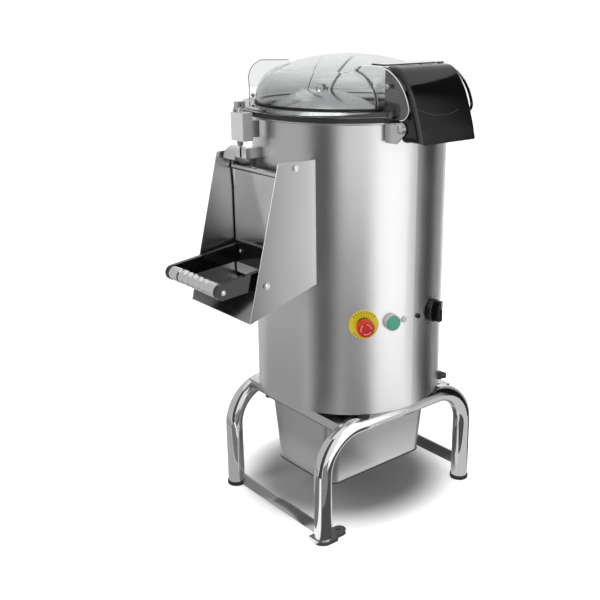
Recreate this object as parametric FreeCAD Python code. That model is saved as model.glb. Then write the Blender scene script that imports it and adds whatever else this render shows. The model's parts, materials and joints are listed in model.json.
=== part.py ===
import FreeCAD
import Part
import math
import os

V = FreeCAD.Vector

# Sizes are in millimetres. The origin is on the floor at the centre of the base.
# +Z is up, -Y is the chute side and +X is the side with the controls and the lid hinge.

# Base frame
tube_radius = 19.0
tube_wall = 1.5
hoop_x = 158.5
hoop_y = 206.0
hoop_z = 236.0
hoop_bend = 88.0
foot_height = 5.0
plate_height = 10.0
plate_half = 22.0
cap_radius = 21.0
cap_height = 9.0
front_bar_lift = 6.0
floor_bar_height = 29.0
floor_bar_thick = 4.0
rear_bar_lift = 27.0
tongue_half = 14.0
tongue_reach = 57.0
fixing_hole_radius = 4.5
fixing_hole_reach = 39.0
plate_corner = 21.0
cap_round = 1.5
rail_y = 162.0
rail_leg = 20.0
rail_thick = 3.0
rail_bottom = 230.0
tray_rail_thick = 2.0
tray_rail_margin = 4.0
tray_rail_lap = 1.5

# Drum
drum_radius = 200.0
drum_wall = 2.0
drum_bottom = 260.0
drum_top = 849.5
drum_foot_width = 35.0
drum_foot_thick = 4.0
rim_reach = 7.0
rim_height = 6.0
pad_y = 100.0
pad_radius = 15.0
base_thick = 2.0
base_lap = 5.0
chamber_floor_z = 500.0
chamber_floor_thick = 4.0
liner_thick = 6.0
liner_drop = 12.0
inlet_angle = 180.0
inlet_z = 800.0
inlet_bore = 9.0
inlet_hole = 7.0
inlet_pipe_radius = 10.5
inlet_depth = 12.0
inlet_reach = 34.0
inlet_nut_radius = 15.0
inlet_nut_thick = 10.0
inlet_nut_back = 3.0
door_way_half = 84.0
door_way_low = 536.0
door_way_high = 728.0

# Peeling drive
shaft_radius = 12.5
running_gap = 0.05
disc_radius = 187.0
disc_low = 512.0
disc_thick = 12.0
disc_waves = 4
disc_hub_radius = 38.0
disc_hub_gap = 4.0
wave_radius = 60.0
wave_height = 8.0
wave_start = 54.0
wave_margin = 8.0
wave_first_turn = 20.0
nut_radius = 26.0
nut_height = 9.0
nut_round = 3.0
nut_knob_radius = 15.0
nut_knob_height = 13.0
nut_knob_round = 4.0
nut_depth = 10.0
housing_radius = 45.0
housing_low = 425.0
housing_body_radius = 35.0
housing_flange = 8.0
housing_roof = 10.0
neck_radius = 30.0
neck_gap = 0.5
bearing_radius = 26.0
bearing_height = 15.0
bearing_lift = 5.0
shaft_below = 7.0
pulley_low = 303.0
pulley_height = 24.0
driven_radius = 70.0
driver_radius = 18.0
groove_depth = 8.0
groove_mouth = 7.0
groove_foot = 4.0
belt_inner = 0.5
belt_outer = 6.5
belt_half = 3.6
motor_x = -95.0
motor_y = 60.0
motor_radius = 60.0
motor_low = 340.0
motor_height = 125.0
motor_core_radius = 54.0
motor_fins = 24
motor_fin_half = 1.2
motor_fin_low = 15.0
motor_fin_high = 20.0
motor_plate_radius = 78.0
motor_plate_thick = 6.0
motor_plate_hole = 11.0
motor_posts = 4
motor_post_radius = 5.0
motor_post_inset = 8.0
motor_post_turn = 12.7
motor_shaft_radius = 7.0
motor_shaft_below = 3.0
motor_shaft_depth = 15.0
motor_socket_depth = 20.0
drain_x = 82.0
drain_y = 92.0
drain_radius = 32.0
drain_wall = 1.5
drain_gap = 1.0
drain_flange_width = 10.0
drain_flange_thick = 3.0
drain_low = 234.0

# Controls on the drum wall, as angles from the front towards +X
stop_angle = 57.5
start_angle = 74.0
lamp_angle = 82.5
fuse_angle = 93.0
timer_angle = 107.0
gland_angle = 131.0
control_z = 455.0
gland_z = 276.0
panel_bore = 11.0
panel_plug = 10.8
fitting_back = 196.0
control_depth = 22.0
stem_depth = 18.0
contact_half = 14.0
contact_depth = 58.0
stop_travel = 4.0
stop_label_radius = 29.5
stop_label_thick = 2.0
stop_collar_radius = 15.0
stop_collar_height = 10.0
stop_cap_radius = 17.5
stop_cap_height = 15.0
stop_cap_round = 4.5
stop_stem_radius = 7.0
stop_clear = 1.0
start_travel = 3.0
start_cap_radius = 13.5
start_cap_height = 9.0
start_cap_round = 1.5
start_stem_radius = 6.0
start_floor = 2.0
start_clear = 0.5
start_bezel_radius = 16.5
start_bezel_height = 9.0
start_side_gap = 0.3
small_bore = 4.0
small_plug = 3.9
lamp_radius = 5.5
lamp_height = 3.5
lamp_round = 2.0
lamp_depth = 14.0
fuse_radius = 5.2
fuse_height = 5.0
fuse_round = 1.5
fuse_depth = 24.0
timer_knob_radius = 24.0
timer_skirt_height = 9.0
timer_skirt_round = 2.5
timer_knob_height = 22.0
timer_grip_half = 5.5
timer_spindle = 3.0
timer_spindle_depth = 25.0
timer_bore_depth = 30.0
timer_half = 20.0
timer_depth = 55.0
timer_front = 16.0
timer_nose = 0.5
gland_bore = 6.0
gland_neck = 5.9
gland_hole = 3.5
gland_nut_radius = 10.0
gland_nut_height = 7.0
gland_dome_low = 8.5
gland_dome_high = 5.5
gland_dome_height = 11.0
gland_depth = 12.0

# Chute and door
chute_half = 102.0
sheet = 1.5
chute_back_z = 536.0
chute_lip_y = -331.0
chute_lip_z = 488.0
chute_top_y = -258.0
chute_top_z = 779.0
chute_back_y = -150.0
chute_knee_y = -172.0
chute_screw_radius = 6.0
chute_screw_height = 3.0
chute_screw_y = -292.0
chute_screw_z = 556.0
collar_wall = 8.0
collar_foot = 6.0
collar_gap = 4.0
door_seal_wall = 7.0
door_seal_gap = 0.5
door_pivot_y = -219.0
door_pivot_z = 768.0
door_y = -222.0
door_low = 528.0
door_sheet = 2.0
door_bar_z = 748.0
door_bar_radius = 6.0
door_bar_offset = 1.0
door_half = 96.0
ear_drop = 40.0
ear_half = 9.0
ear_top_half = 6.0
ear_rise = 8.0
ear_thick = 3.0
pivot_gap = 0.2
grip_y = -380.0
grip_z = 558.0
grip_radius = 14.0
grip_beads = 5
bead_pitch = 19.2
bead_depth = 2.0
lever_half = 90.0
lever_thick = 10.0
lever_wall = 6.0
lever_low = 552.0
lever_high = 598.0
lever_arm_low = 556.0
lever_arm_high = 592.0
lever_boss = 15.0
grip_screw_radius = 4.5
grip_screw_height = 2.0
stud_radius = 4.0
stud_height = 2.5
stud_x = 70.0
stud_z = 578.0
cam_radius = 22.0
cam_clear = 0.6
cam_width = 40.0
cam_foot_half = 8.0
cam_foot_drop = 10.0
cam_first = -15.0
cam_step = 7.5
cam_points = 13
plunger_lift_per_radian = 4.8

# Interlock
lock_x0 = -68.0
lock_x1 = -27.0
lock_y0 = -245.0
lock_y1 = -221.0
lock_z0 = 804.5
lock_z1 = 858.0
plunger_x = -60.0
plunger_y = -229.5
plunger_radius = 6.0
plunger_depth = 24.0
lock_wall = 1.5
lock_floor = 4.0
lock_round = 1.5
lock_ear_radius = 4.0
lock_ear_thick = 3.0
lock_ear_height = 6.0
lock_ear_gap = 1.0
lever_x0 = -58.0
lever_x1 = -44.0
lever_y = -239.0
lever_pin = 2.0
lever_hub = 3.5
lever_height = 20.0
lever_plate_front = 3.5
lever_plate_back = 1.0
lever_top_thick = 3.0
lever_top_reach = 13.0
lever_cheek = 1.5
lever_cheek_start = 4.0
lever_cheek_height = 12.0
roller_radius = 4.5
roller_reach = 9.0
arm_x0 = -60.0
arm_x1 = -42.0
arm_lift = 4.0
arm_height = 32.0
stop_x0 = -50.0
stop_x1 = -34.0
stop_front_y = -234.0
stop_lift = 2.0
stop_height = 20.0

# Lid
seal_gap = 0.4
seal_radius = 219.5
seal_height = 7.0
flange_radius = 220.0
flange_height = 11.5
lid_wall = 4.0
dome_radius = 190.0
dome_knuckle = 62.0
dome_crown = 430.0
dome_apex_z = 961.5
hinge_x = 235.0
hinge_z = 840.0
hinge_pin_radius = 5.0
cover_half = 76.0
cover_wall = 4.0
cover_front_x = 191.0
cover_lip_x = 233.0
cover_low = 814.5
cover_top = 948.0
cover_top_x = 202.0
cover_brow_x = 229.0
cover_brow_z = 933.0
cover_upper_x = 247.0
cover_upper_z = 909.0
cover_middle_x = 259.5
cover_middle_z = 881.0
cover_lower_x = 268.0
cover_lower_z = 857.0
cover_skirt_x = 274.0
cover_skirt_z = 838.0
cover_low_x = 280.0
cover_round = 9.0
cover_side_round = 12.0
cover_hollow_x = 180.0
cover_slot_x = 273.0
cover_slot_inset = 8.0
cover_slot_top = 822.0
cover_boss = 11.0
cover_gap = 0.3
cover_seal_gap = 3.0
cover_steps = 12
cheek_gap = 0.5
cheek_thick = 8.5
cheek_front_x = 112.0
cheek_shoulder_x = 129.0
cheek_shoulder_z = 934.0
cheek_top_z = 947.0
cheek_top_x = 186.0
cheek_bend_x = 236.0
cheek_bend_z = 919.0
cheek_back_x = 258.5
cheek_back_z = 877.0
cheek_heel_x = 253.0
cheek_heel_z = 863.0
cheek_foot_x = 206.5
cheek_foot_z = 856.0
cheek_foot_back_x = 236.0
bridge_x0 = 150.0
bridge_x1 = 188.0
bridge_z0 = 948.3
bridge_thick = 3.0
tab_turn = -131.0
tab_half = 2.5
tab_back_x = 120.0
tab_top_x = 176.0
tab_top_z = 949.0
tab_bend_x = 194.0
tab_bend_z = 938.0
tab_front_x = 203.0
tab_front_z = 905.0
lid_screw_radius = 4.5
lid_screw_height = 2.5
lid_screw_x = 204.0
lid_screw_z = 914.0
tab_screw_radius = 4.0
tab_screw_height = 2.0
tab_screw_x = 195.5
tab_screw_z = 880.0
dish_x = -36.0
dish_y = -42.0
dish_radius = 115.0
dish_rim_z = 852.0
dish_apex_z = 893.0
dish_hub_radius = 13.0
dish_hub_height = 6.0
dish_knob_radius = 8.0
strap_turn = 49.4
strap_half = 5.0
strap_thick = 6.0
far_strap_thick = 1.8
strap_low = 889.0
strap_bend = 915.0
strap_high = 962.0
strap_low_x = -40.0
strap_bend_x = -30.0
strap_high_x = 14.0
far_strap_low_x = -84.0
far_strap_bend_x = -78.0
far_strap_high_x = -46.0
bracket_thick = 3.0
bracket_side_gap = 1.0
bracket_nose = 12.0
bracket_x = 193.0
bracket_low = 812.0
bracket_knee_x = 222.0
bracket_knee = 9.0
bracket_high = 847.0
bracket_back = 14.0
bracket_foot_y = 46.0
bracket_foot_top = 842.0
pin_reach = 4.0
pin_head_radius = 8.5
pin_head_height = 4.0

# Tray
tray_x0 = -84.0
tray_x1 = 124.0
tray_y0 = -159.0
tray_y1 = 130.0
tray_top = 227.8
tray_bottom = 85.0
tray_taper = 10.0
tray_corner = 24.0
tray_wall = 1.2
tray_rim = 8.0
tray_rim_corner = 4.0
tray_rim_reach = 2.0
slide_gap = 0.4

# Derived sizes. Cutting bodies run past a face by the first one.
past = 1.0
outside = 3.0 * drum_radius
flange_low = drum_top + seal_gap + seal_height
flange_top = flange_low + flange_height
plunger_low = door_pivot_z + cam_radius + cam_clear + plunger_radius
lever_pin_z = lock_z1 + lock_ear_height
cheek_outer = cover_half + cheek_gap + cheek_thick
dish_rise = dish_apex_z - dish_rim_z
dish_ball = (dish_radius ** 2 + dish_rise ** 2) / (2.0 * dish_rise)


def block(x0, x1, y0, y1, z0, z1):
    return Part.makeBox(x1 - x0, y1 - y0, z1 - z0, V(x0, y0, z0))


def post(radius, z0, z1, x=0.0, y=0.0):
    return Part.makeCylinder(radius, z1 - z0, V(x, y, z0))


def ring(outer, inner, z0, z1, x=0.0, y=0.0):
    return post(outer, z0, z1, x, y).cut(post(inner, z0 - past, z1 + past, x, y))


def bar_x(radius, x0, x1, y, z):
    return Part.makeCylinder(radius, x1 - x0, V(x0, y, z), V(1, 0, 0))


def bar_y(radius, y0, y1, x, z):
    return Part.makeCylinder(radius, y1 - y0, V(x, y0, z), V(0, 1, 0))


def panel_x(points, x0, x1):
    """A plate square to X, from (y, z) points."""
    corners = [V(x0, y, z) for y, z in points]
    face = Part.Face(Part.makePolygon(corners + corners[:1]))
    return face.extrude(V(x1 - x0, 0, 0))


def panel_y(points, y0, y1):
    """A plate square to Y, from (x, z) points."""
    corners = [V(x, y0, z) for x, z in points]
    face = Part.Face(Part.makePolygon(corners + corners[:1]))
    return face.extrude(V(0, y1 - y0, 0))


def profile_y(edges, y0, y1):
    """A body square to Y, from the edges of an outline at y = 0."""
    face = Part.Face(Part.Wire(edges))
    face.translate(V(0, y0, 0))
    return face.extrude(V(0, y1 - y0, 0))


def line(a, b):
    return Part.LineSegment(a, b).toShape()


def arc(a, b, c):
    return Part.Arc(a, b, c).toShape()


def turned(edges):
    """A body of revolution about Z, from the edges of a closed outline at y = 0."""
    return Part.Face(Part.Wire(edges)).revolve(V(0, 0, 0), V(0, 0, 1), 360)


def on_drum(shape, angle, height):
    """Turn a shape built along Z, from the drum's axis outwards, to its place on the drum."""
    a = math.radians(angle)
    across = V(math.cos(a), math.sin(a), 0)
    outward = V(math.sin(a), -math.cos(a), 0)
    turn = FreeCAD.Rotation(across, V(0, 0, 1), outward, "ZXY")
    placed = shape.copy()
    placed.Placement = FreeCAD.Placement(V(0, 0, height), turn)
    return placed


def group(shapes):
    return Part.makeCompound(shapes)


def rounded_loop(x0, x1, y0, y1, radius, z):
    """A rectangle with round corners as a wire."""
    k = radius * (1.0 - math.sqrt(0.5))
    p = [V(x0 + radius, y0, z), V(x1 - radius, y0, z), V(x1, y0 + radius, z), V(x1, y1 - radius, z)]
    q = [V(x1 - radius, y1, z), V(x0 + radius, y1, z), V(x0, y1 - radius, z), V(x0, y0 + radius, z)]
    edges = [line(p[0], p[1]), arc(p[1], V(x1 - k, y0 + k, z), p[2]), line(p[2], p[3])]
    edges += [arc(p[3], V(x1 - k, y1 - k, z), q[0]), line(q[0], q[1])]
    edges += [arc(q[1], V(x0 + k, y1 - k, z), q[2]), line(q[2], q[3])]
    edges += [arc(q[3], V(x0 + k, y0 + k, z), p[0])]
    return Part.Wire(edges)


def drum_solid():
    return post(drum_radius, drum_bottom, drum_top)


def drill(radius, angle, height):
    """A long round cutter through the drum's wall."""
    return on_drum(post(radius, 0.5 * drum_radius, outside), angle, height)


# Base frame


def hoop_body(x, radius):
    y = hoop_y
    turn = hoop_bend
    k = turn * (1.0 - math.sqrt(0.5))
    low = hoop_z - turn
    path = [
        line(V(x, -y, foot_height), V(x, -y, low)),
        arc(V(x, -y, low), V(x, -y + k, hoop_z - k), V(x, -y + turn, hoop_z)),
        line(V(x, -y + turn, hoop_z), V(x, y - turn, hoop_z)),
        arc(V(x, y - turn, hoop_z), V(x, y - k, hoop_z - k), V(x, y, low)),
        line(V(x, y, low), V(x, y, foot_height)),
    ]
    section = Part.Wire(Part.makeCircle(radius, V(x, -y, foot_height), V(0, 0, 1)))
    return Part.Wire(path).makePipeShell([section], True, True)


def hoop(x):
    return hoop_body(x, tube_radius).cut(hoop_body(x, tube_radius - tube_wall))


def hoops_solid():
    return hoop_body(hoop_x, tube_radius).fuse(hoop_body(-hoop_x, tube_radius))


def floor_bar(y, z0):
    half = 0.5 * floor_bar_thick
    return block(-hoop_x, hoop_x, y - half, y + half, z0, z0 + floor_bar_height).cut(hoops_solid())


def foot_cap(x, y):
    cup = post(cap_radius, 0.0, cap_height, x, y)
    cup = cup.makeFillet(cap_round, [cup.Edges[0], cup.Edges[2]])
    return cup.cut(post(tube_radius, foot_height, cap_height + past, x, y))


def foot_caps():
    """The rubber cups on the two feet that have no fixing plate, slotted where a floor bar passes."""
    bar = floor_bar(-hoop_y, front_bar_lift)
    return group([foot_cap(hoop_x, hoop_y), foot_cap(-hoop_x, -hoop_y).cut(bar)])


def fixing_plate(side):
    """The plate under one foot, round at its outer corner, with a tongue and a bolt hole along the side."""
    x = side * hoop_x
    y = -side * hoop_y
    end = y + side * (tongue_reach - tongue_half)
    half = plate_half
    plate = block(x - half, x + half, y - half, y + half, 0.0, plate_height)
    corner = [e for e in plate.Edges if e.Vertexes[0].Z != e.Vertexes[1].Z]
    outer = [e for e in corner if side * (e.Vertexes[0].X - x) > 0.0 and side * (e.Vertexes[0].Y - y) < 0.0]
    plate = plate.makeFillet(plate_corner, outer)
    low_y = min(y, end)
    high_y = max(y, end)
    plate = plate.fuse(block(x - tongue_half, x + tongue_half, low_y, high_y, 0.0, plate_height))
    plate = plate.fuse(post(tongue_half, 0.0, plate_height, x, end)).removeSplitter()
    plate = plate.cut(post(tube_radius, foot_height, plate_height + past, x, y))
    return plate.cut(post(fixing_hole_radius, -past, plate_height + past, x, y + side * fixing_hole_reach))


def floor_bars():
    """The front and rear bars between the hoops, cut to meet the tubes and the fixing plates."""
    bars = []
    for y, lift in ((-hoop_y, front_bar_lift), (hoop_y, rear_bar_lift)):
        bar = floor_bar(y, lift)
        bars.append(bar.cut(fixing_plate(1.0)).cut(fixing_plate(-1.0)))
    return group(bars)


def cross_rail(side):
    """An angle bar between the hoops, under the drum."""
    y0 = side * rail_y
    y1 = side * (rail_y - rail_thick)
    y2 = side * (rail_y - rail_leg)
    top = rail_bottom + rail_leg
    upright = block(-hoop_x, hoop_x, min(y0, y1), max(y0, y1), rail_bottom, top)
    shelf = block(-hoop_x, hoop_x, min(y0, y2), max(y0, y2), top - rail_thick, top)
    return upright.fuse(shelf).removeSplitter().cut(hoops_solid())


def tray_rail(edge, side):
    """An angle rail that carries one rim of the tray."""
    inner = edge + side * tray_rail_lap
    outer = edge + side * (tray_rim + tray_rail_margin)
    shelf_top = tray_top - tray_wall - slide_gap
    shelf_low = shelf_top - tray_rail_thick
    x = sorted((inner, outer))
    shelf = block(x[0], x[1], -rail_y, rail_y, shelf_low, shelf_top)
    x = sorted((outer - side * tray_rail_thick, outer))
    wall = block(x[0], x[1], -rail_y, rail_y, shelf_low, rail_bottom)
    return shelf.fuse(wall).removeSplitter()


def stand_rails():
    cross = [cross_rail(-1.0), cross_rail(1.0)]
    return group(cross + [tray_rail(tray_x0, -1.0), tray_rail(tray_x1, 1.0)])


def drum_pads():
    pads = []
    for x in (-hoop_x, hoop_x):
        for y in (-pad_y, pad_y):
            pads.append(post(pad_radius, hoop_z, drum_bottom, x, y).cut(hoops_solid()))
    return group(pads)


# Drum


def door_way():
    """The doorway through the drum wall, as a body that runs out along -Y."""
    half = door_way_half
    return block(-half, half, -outside, -0.5 * drum_radius, door_way_low, door_way_high)


def control_bores():
    bores = [drill(panel_bore, angle, control_z) for angle in (stop_angle, start_angle, timer_angle)]
    bores += [drill(small_bore, angle, control_z) for angle in (lamp_angle, fuse_angle)]
    bores.append(drill(gland_bore, gland_angle, gland_z))
    bores.append(drill(inlet_bore, inlet_angle, inlet_z))
    return bores


def drum_half(side):
    """One of the two rolled halves of the drum's wall, welded along both sides: -1 is the front one."""
    shell = ring(drum_radius, drum_radius - drum_wall, drum_bottom, drum_top)
    shell = shell.fuse(drum_rim()).removeSplitter().cut(door_way())
    for bore in control_bores():
        shell = shell.cut(bore)
    y = sorted((0.0, side * outside))
    return shell.common(block(-outside, outside, y[0], y[1], 0.0, outside + drum_top))


def drum_rim():
    """The rolled lip round the drum's mouth, as a ring."""
    low = drum_top - rim_height
    middle = drum_top - 0.5 * rim_height
    r0 = drum_radius
    r1 = drum_radius + rim_reach - 0.5 * rim_height
    edges = [line(V(r0, 0, low), V(r1, 0, low))]
    edges.append(arc(V(r1, 0, low), V(drum_radius + rim_reach, 0, middle), V(r1, 0, drum_top)))
    edges.append(line(V(r1, 0, drum_top), V(r0, 0, drum_top)))
    edges.append(line(V(r0, 0, drum_top), V(r0, 0, low)))
    return turned(edges)


def base_plate():
    """The dished plate that closes the drum below and rests on the stand."""
    radius = drum_radius - drum_wall
    z0 = drum_bottom
    z1 = z0 + drum_foot_thick
    foot = ring(radius, drum_radius - drum_foot_width, z0, z1)
    plate = post(drum_radius - drum_foot_width + base_lap, z1, z1 + base_thick)
    plate = plate.fuse(foot).removeSplitter()
    return plate.cut(post(drain_radius + drain_gap, z0 - past, z1 + base_thick + past, drain_x, drain_y))


def chamber_floor():
    z0 = chamber_floor_z
    z1 = z0 + chamber_floor_thick
    plate = post(drum_radius - drum_wall, z0, z1)
    plate = plate.cut(post(neck_radius, z0 - past, z1 + past))
    return plate.cut(post(drain_radius, z0 - past, z1 + past, drain_x, drain_y))


def abrasive_liner():
    outer = drum_radius - drum_wall
    lining = ring(outer, outer - liner_thick, chamber_floor_z + chamber_floor_thick, drum_top - liner_drop)
    return lining.cut(door_way()).cut(drill(inlet_bore, inlet_angle, inlet_z))


def drain_spout():
    top = chamber_floor_z
    inner = drain_radius - drain_wall
    pipe = ring(drain_radius, inner, drain_low, top + drain_gap, drain_x, drain_y)
    outer = drain_radius + drain_flange_width
    flange = ring(outer, inner, top - drain_flange_thick, top, drain_x, drain_y)
    return pipe.fuse(flange).removeSplitter()


def water_inlet():
    """A hose connection at the back of the drum, which lets rinsing water in."""
    back = drum_radius - inlet_nut_back
    stub = post(inlet_bore, drum_radius - inlet_depth, drum_radius)
    stub = stub.fuse(post(inlet_pipe_radius, back, drum_radius + inlet_reach))
    nut = hexagon_bar(inlet_nut_radius, back, back + inlet_nut_thick)
    drum = drum_solid().cut(drill(inlet_bore, inlet_angle, inlet_z))
    placed = on_drum(stub.fuse(nut), inlet_angle, inlet_z).cut(drum)
    return placed.cut(drill(inlet_hole, inlet_angle, inlet_z)).removeSplitter()


def hexagon_bar(radius, z0, z1):
    corners = []
    for i in range(7):
        a = math.radians(60.0 * i)
        corners.append(V(radius * math.cos(a), radius * math.sin(a), z0))
    return Part.Face(Part.makePolygon(corners)).extrude(V(0, 0, z1 - z0))


# Peeling drive


def peeling_disc():
    """The turning plate, with raised waves that tumble the load."""
    top = disc_low + disc_thick
    plate = post(disc_radius, disc_low, top)
    plate = plate.fuse(post(disc_hub_radius, chamber_floor_z + chamber_floor_thick + disc_hub_gap, disc_low))
    end = disc_radius - wave_margin
    for i in range(disc_waves):
        wave = bar_x(wave_radius, wave_start, end, 0.0, top + wave_height - wave_radius)
        wave = wave.common(block(0.0, outside, -wave_radius, wave_radius, top - past, outside))
        wave.rotate(V(0, 0, 0), V(0, 0, 1), 360.0 * i / disc_waves + wave_first_turn)
        plate = plate.fuse(wave)
    return plate.removeSplitter().cut(post(shaft_radius, 0.0, outside))


def disc_nut():
    top = disc_low + disc_thick
    middle = top + nut_height
    cap = post(nut_radius, top, middle)
    cap = cap.makeFillet(nut_round, [cap.Edges[0]])
    knob = post(nut_knob_radius, middle, middle + nut_knob_height)
    knob = knob.makeFillet(nut_knob_round, [knob.Edges[0]])
    body = cap.fuse(knob).removeSplitter()
    return body.cut(post(shaft_radius, top - past, top + nut_depth))


def drive_shaft():
    return post(shaft_radius, pulley_low - shaft_below, disc_low + disc_thick + nut_depth)


def bearing_housing():
    """The housing under the chamber floor. Its neck closes the floor round the shaft."""
    top = chamber_floor_z + chamber_floor_thick
    body = post(housing_body_radius, housing_low, chamber_floor_z)
    flange = post(housing_radius, chamber_floor_z - housing_flange, chamber_floor_z)
    neck = post(neck_radius, chamber_floor_z, top)
    body = body.fuse(flange).fuse(neck).removeSplitter()
    body = body.cut(post(bearing_radius, housing_low - past, chamber_floor_z - housing_roof))
    return body.cut(post(shaft_radius + neck_gap, housing_low, top + past))


def shaft_bearings():
    low = housing_low + bearing_lift
    high = chamber_floor_z - housing_roof - bearing_height
    races = []
    for z in (low, high):
        races.append(ring(bearing_radius, shaft_radius + running_gap, z, z + bearing_height))
    return group(races)


def pulley(radius, bore, x, y):
    """A pulley with one belt groove."""
    z0 = pulley_low
    z1 = pulley_low + pulley_height
    middle = 0.5 * (z0 + z1)
    deep = radius - groove_depth
    corners = [(bore, z0), (radius, z0), (radius, middle - groove_mouth), (deep, middle - groove_foot)]
    corners += [(deep, middle + groove_foot), (radius, middle + groove_mouth), (radius, z1), (bore, z1)]
    corners.append(corners[0])
    body = turned([line(V(a[0], 0, a[1]), V(b[0], 0, b[1])) for a, b in zip(corners, corners[1:])])
    body.translate(V(x, y, 0))
    return body


def belt_loop(grow, z0, z1):
    """The body inside a belt line that wraps both pulleys."""
    big = driven_radius - groove_depth + grow
    small = driver_radius - groove_depth + grow
    span = math.hypot(motor_x, motor_y)
    lean = math.asin((big - small) / span)
    middle = math.atan2(motor_y, motor_x)
    points = []
    for side in (1.0, -1.0):
        a = middle + side * (0.5 * math.pi - lean)
        points.append(V(big * math.cos(a), big * math.sin(a), z0))
        points.append(V(motor_x + small * math.cos(a), motor_y + small * math.sin(a), z0))
    web = Part.Face(Part.makePolygon([points[0], points[1], points[3], points[2], points[0]]))
    body = web.extrude(V(0, 0, z1 - z0))
    body = body.fuse(post(big, z0, z1)).fuse(post(small, z0, z1, motor_x, motor_y))
    return body.removeSplitter()


def drive_belt():
    middle = pulley_low + 0.5 * pulley_height
    low = middle - belt_half
    high = middle + belt_half
    return belt_loop(belt_outer, low, high).cut(belt_loop(belt_inner, low - past, high + past))


def motor_body():
    z0 = motor_low
    z1 = motor_low + motor_height
    body = post(motor_core_radius, z0, z1, motor_x, motor_y)
    half = motor_fin_half
    for i in range(motor_fins):
        inner = motor_core_radius - past
        fin = block(inner, motor_radius, -half, half, z0 + motor_fin_low, z1 - motor_fin_high)
        fin.rotate(V(0, 0, 0), V(0, 0, 1), 360.0 * i / motor_fins)
        fin.translate(V(motor_x, motor_y, 0))
        body = body.fuse(fin)
    return body.cut(post(motor_shaft_radius + past, z0 - past, z0 + motor_socket_depth, motor_x, motor_y))


def motor_shaft():
    low = pulley_low - motor_shaft_below
    return post(motor_shaft_radius, low, motor_low + motor_shaft_depth, motor_x, motor_y)


def motor_plate():
    z0 = motor_low - motor_plate_thick
    reach = motor_plate_radius - motor_post_inset
    plate = post(motor_plate_radius, z0, motor_low, motor_x, motor_y)
    for i in range(motor_posts):
        a = math.radians(360.0 * i / motor_posts + motor_post_turn)
        x = motor_x + reach * math.cos(a)
        y = motor_y + reach * math.sin(a)
        plate = plate.fuse(post(motor_post_radius, z0, chamber_floor_z, x, y))
    hole = post(motor_plate_hole, z0 - past, motor_low + past, motor_x, motor_y)
    return plate.cut(hole).removeSplitter()


# Controls


def on_wall(shape, angle, height=control_z):
    """Place a control and shape its back to the drum wall."""
    return on_drum(shape, angle, height).cut(drum_solid().cut(drill(panel_bore, angle, height)))


def contact_block():
    """The switch contacts behind a push button."""
    half = contact_half
    return block(-half, half, -half, half, drum_radius - contact_depth, drum_radius - control_depth)


def stop_label():
    disc = ring(stop_label_radius, panel_bore, fitting_back, drum_radius + stop_label_thick)
    return on_wall(disc, stop_angle)


def stop_collar():
    face = drum_radius + stop_label_thick
    body = post(panel_plug, drum_radius - control_depth, face)
    body = body.fuse(post(stop_collar_radius, face, drum_radius + stop_collar_height)).fuse(contact_block())
    body = body.removeSplitter()
    body = body.cut(post(stop_stem_radius + running_gap, drum_radius - control_depth - past, outside))
    return on_drum(body, stop_angle, control_z)


def stop_button():
    back = drum_radius + stop_collar_height + stop_travel + stop_clear
    cap = post(stop_cap_radius, back, back + stop_cap_height)
    cap = cap.makeFillet(stop_cap_round, [cap.Edges[0]])
    stem = post(stop_stem_radius, drum_radius - stem_depth, back)
    return on_drum(cap.fuse(stem).removeSplitter(), stop_angle, control_z)


def start_bezel():
    plug = post(panel_plug, drum_radius - control_depth, drum_radius).fuse(contact_block())
    collar = on_wall(post(start_bezel_radius, fitting_back, drum_radius + start_bezel_height), start_angle)
    body = on_drum(plug, start_angle, control_z).fuse(collar).removeSplitter()
    seat = post(start_cap_radius + start_side_gap, drum_radius + start_floor, outside)
    guide = post(start_stem_radius + running_gap, drum_radius - control_depth - past, outside)
    return body.cut(on_drum(seat, start_angle, control_z)).cut(on_drum(guide, start_angle, control_z))


def start_button():
    low = drum_radius + start_floor + start_travel + start_clear
    cap = post(start_cap_radius, low, low + start_cap_height)
    cap = cap.makeFillet(start_cap_round, [cap.Edges[0]])
    stem = post(start_stem_radius, drum_radius - stem_depth, low)
    return on_drum(cap.fuse(stem).removeSplitter(), start_angle, control_z)


def small_fitting(radius, height, rounding, depth, angle):
    """A round cap on the drum wall, with a plug behind it in its bore."""
    cap = post(radius, fitting_back, drum_radius + height)
    cap = cap.makeFillet(rounding, [cap.Edges[0]])
    plug = on_drum(post(small_plug, drum_radius - depth, drum_radius + past), angle, control_z)
    return on_drum(cap, angle, control_z).cut(drum_solid()).fuse(plug)


def timer_body():
    half = timer_half
    body = block(-half, half, -half, half, drum_radius - timer_depth, drum_radius - timer_front)
    body = body.fuse(post(panel_plug, drum_radius - timer_front, drum_radius + timer_nose))
    body = body.cut(post(timer_spindle + running_gap, drum_radius - timer_bore_depth, outside))
    return on_drum(body, timer_angle, control_z)


def timer_knob():
    """A round knob with a raised grip across its face."""
    low = drum_radius + start_floor
    skirt = post(timer_knob_radius, low, low + timer_skirt_height)
    skirt = skirt.makeFillet(timer_skirt_round, [skirt.Edges[0]])
    half = timer_grip_half
    grip = block(-half, half, -timer_knob_radius, timer_knob_radius, low, low + timer_knob_height)
    grip = grip.common(post(timer_knob_radius - start_floor, low, outside))
    spindle = post(timer_spindle, drum_radius - timer_spindle_depth, low)
    return on_drum(skirt.fuse(grip).fuse(spindle).removeSplitter(), timer_angle, control_z)


def cable_gland():
    back = drum_radius - past
    middle = drum_radius + gland_nut_height
    nut = hexagon_bar(gland_nut_radius, back, middle)
    dome = Part.makeCone(gland_dome_low, gland_dome_high, gland_dome_height, V(0, 0, middle))
    outer = on_drum(nut.fuse(dome), gland_angle, gland_z).cut(drum_solid())
    neck = on_drum(post(gland_neck, drum_radius - gland_depth, drum_radius + past), gland_angle, gland_z)
    return outer.fuse(neck).removeSplitter().cut(drill(gland_hole, gland_angle, gland_z))


# Chute


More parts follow.
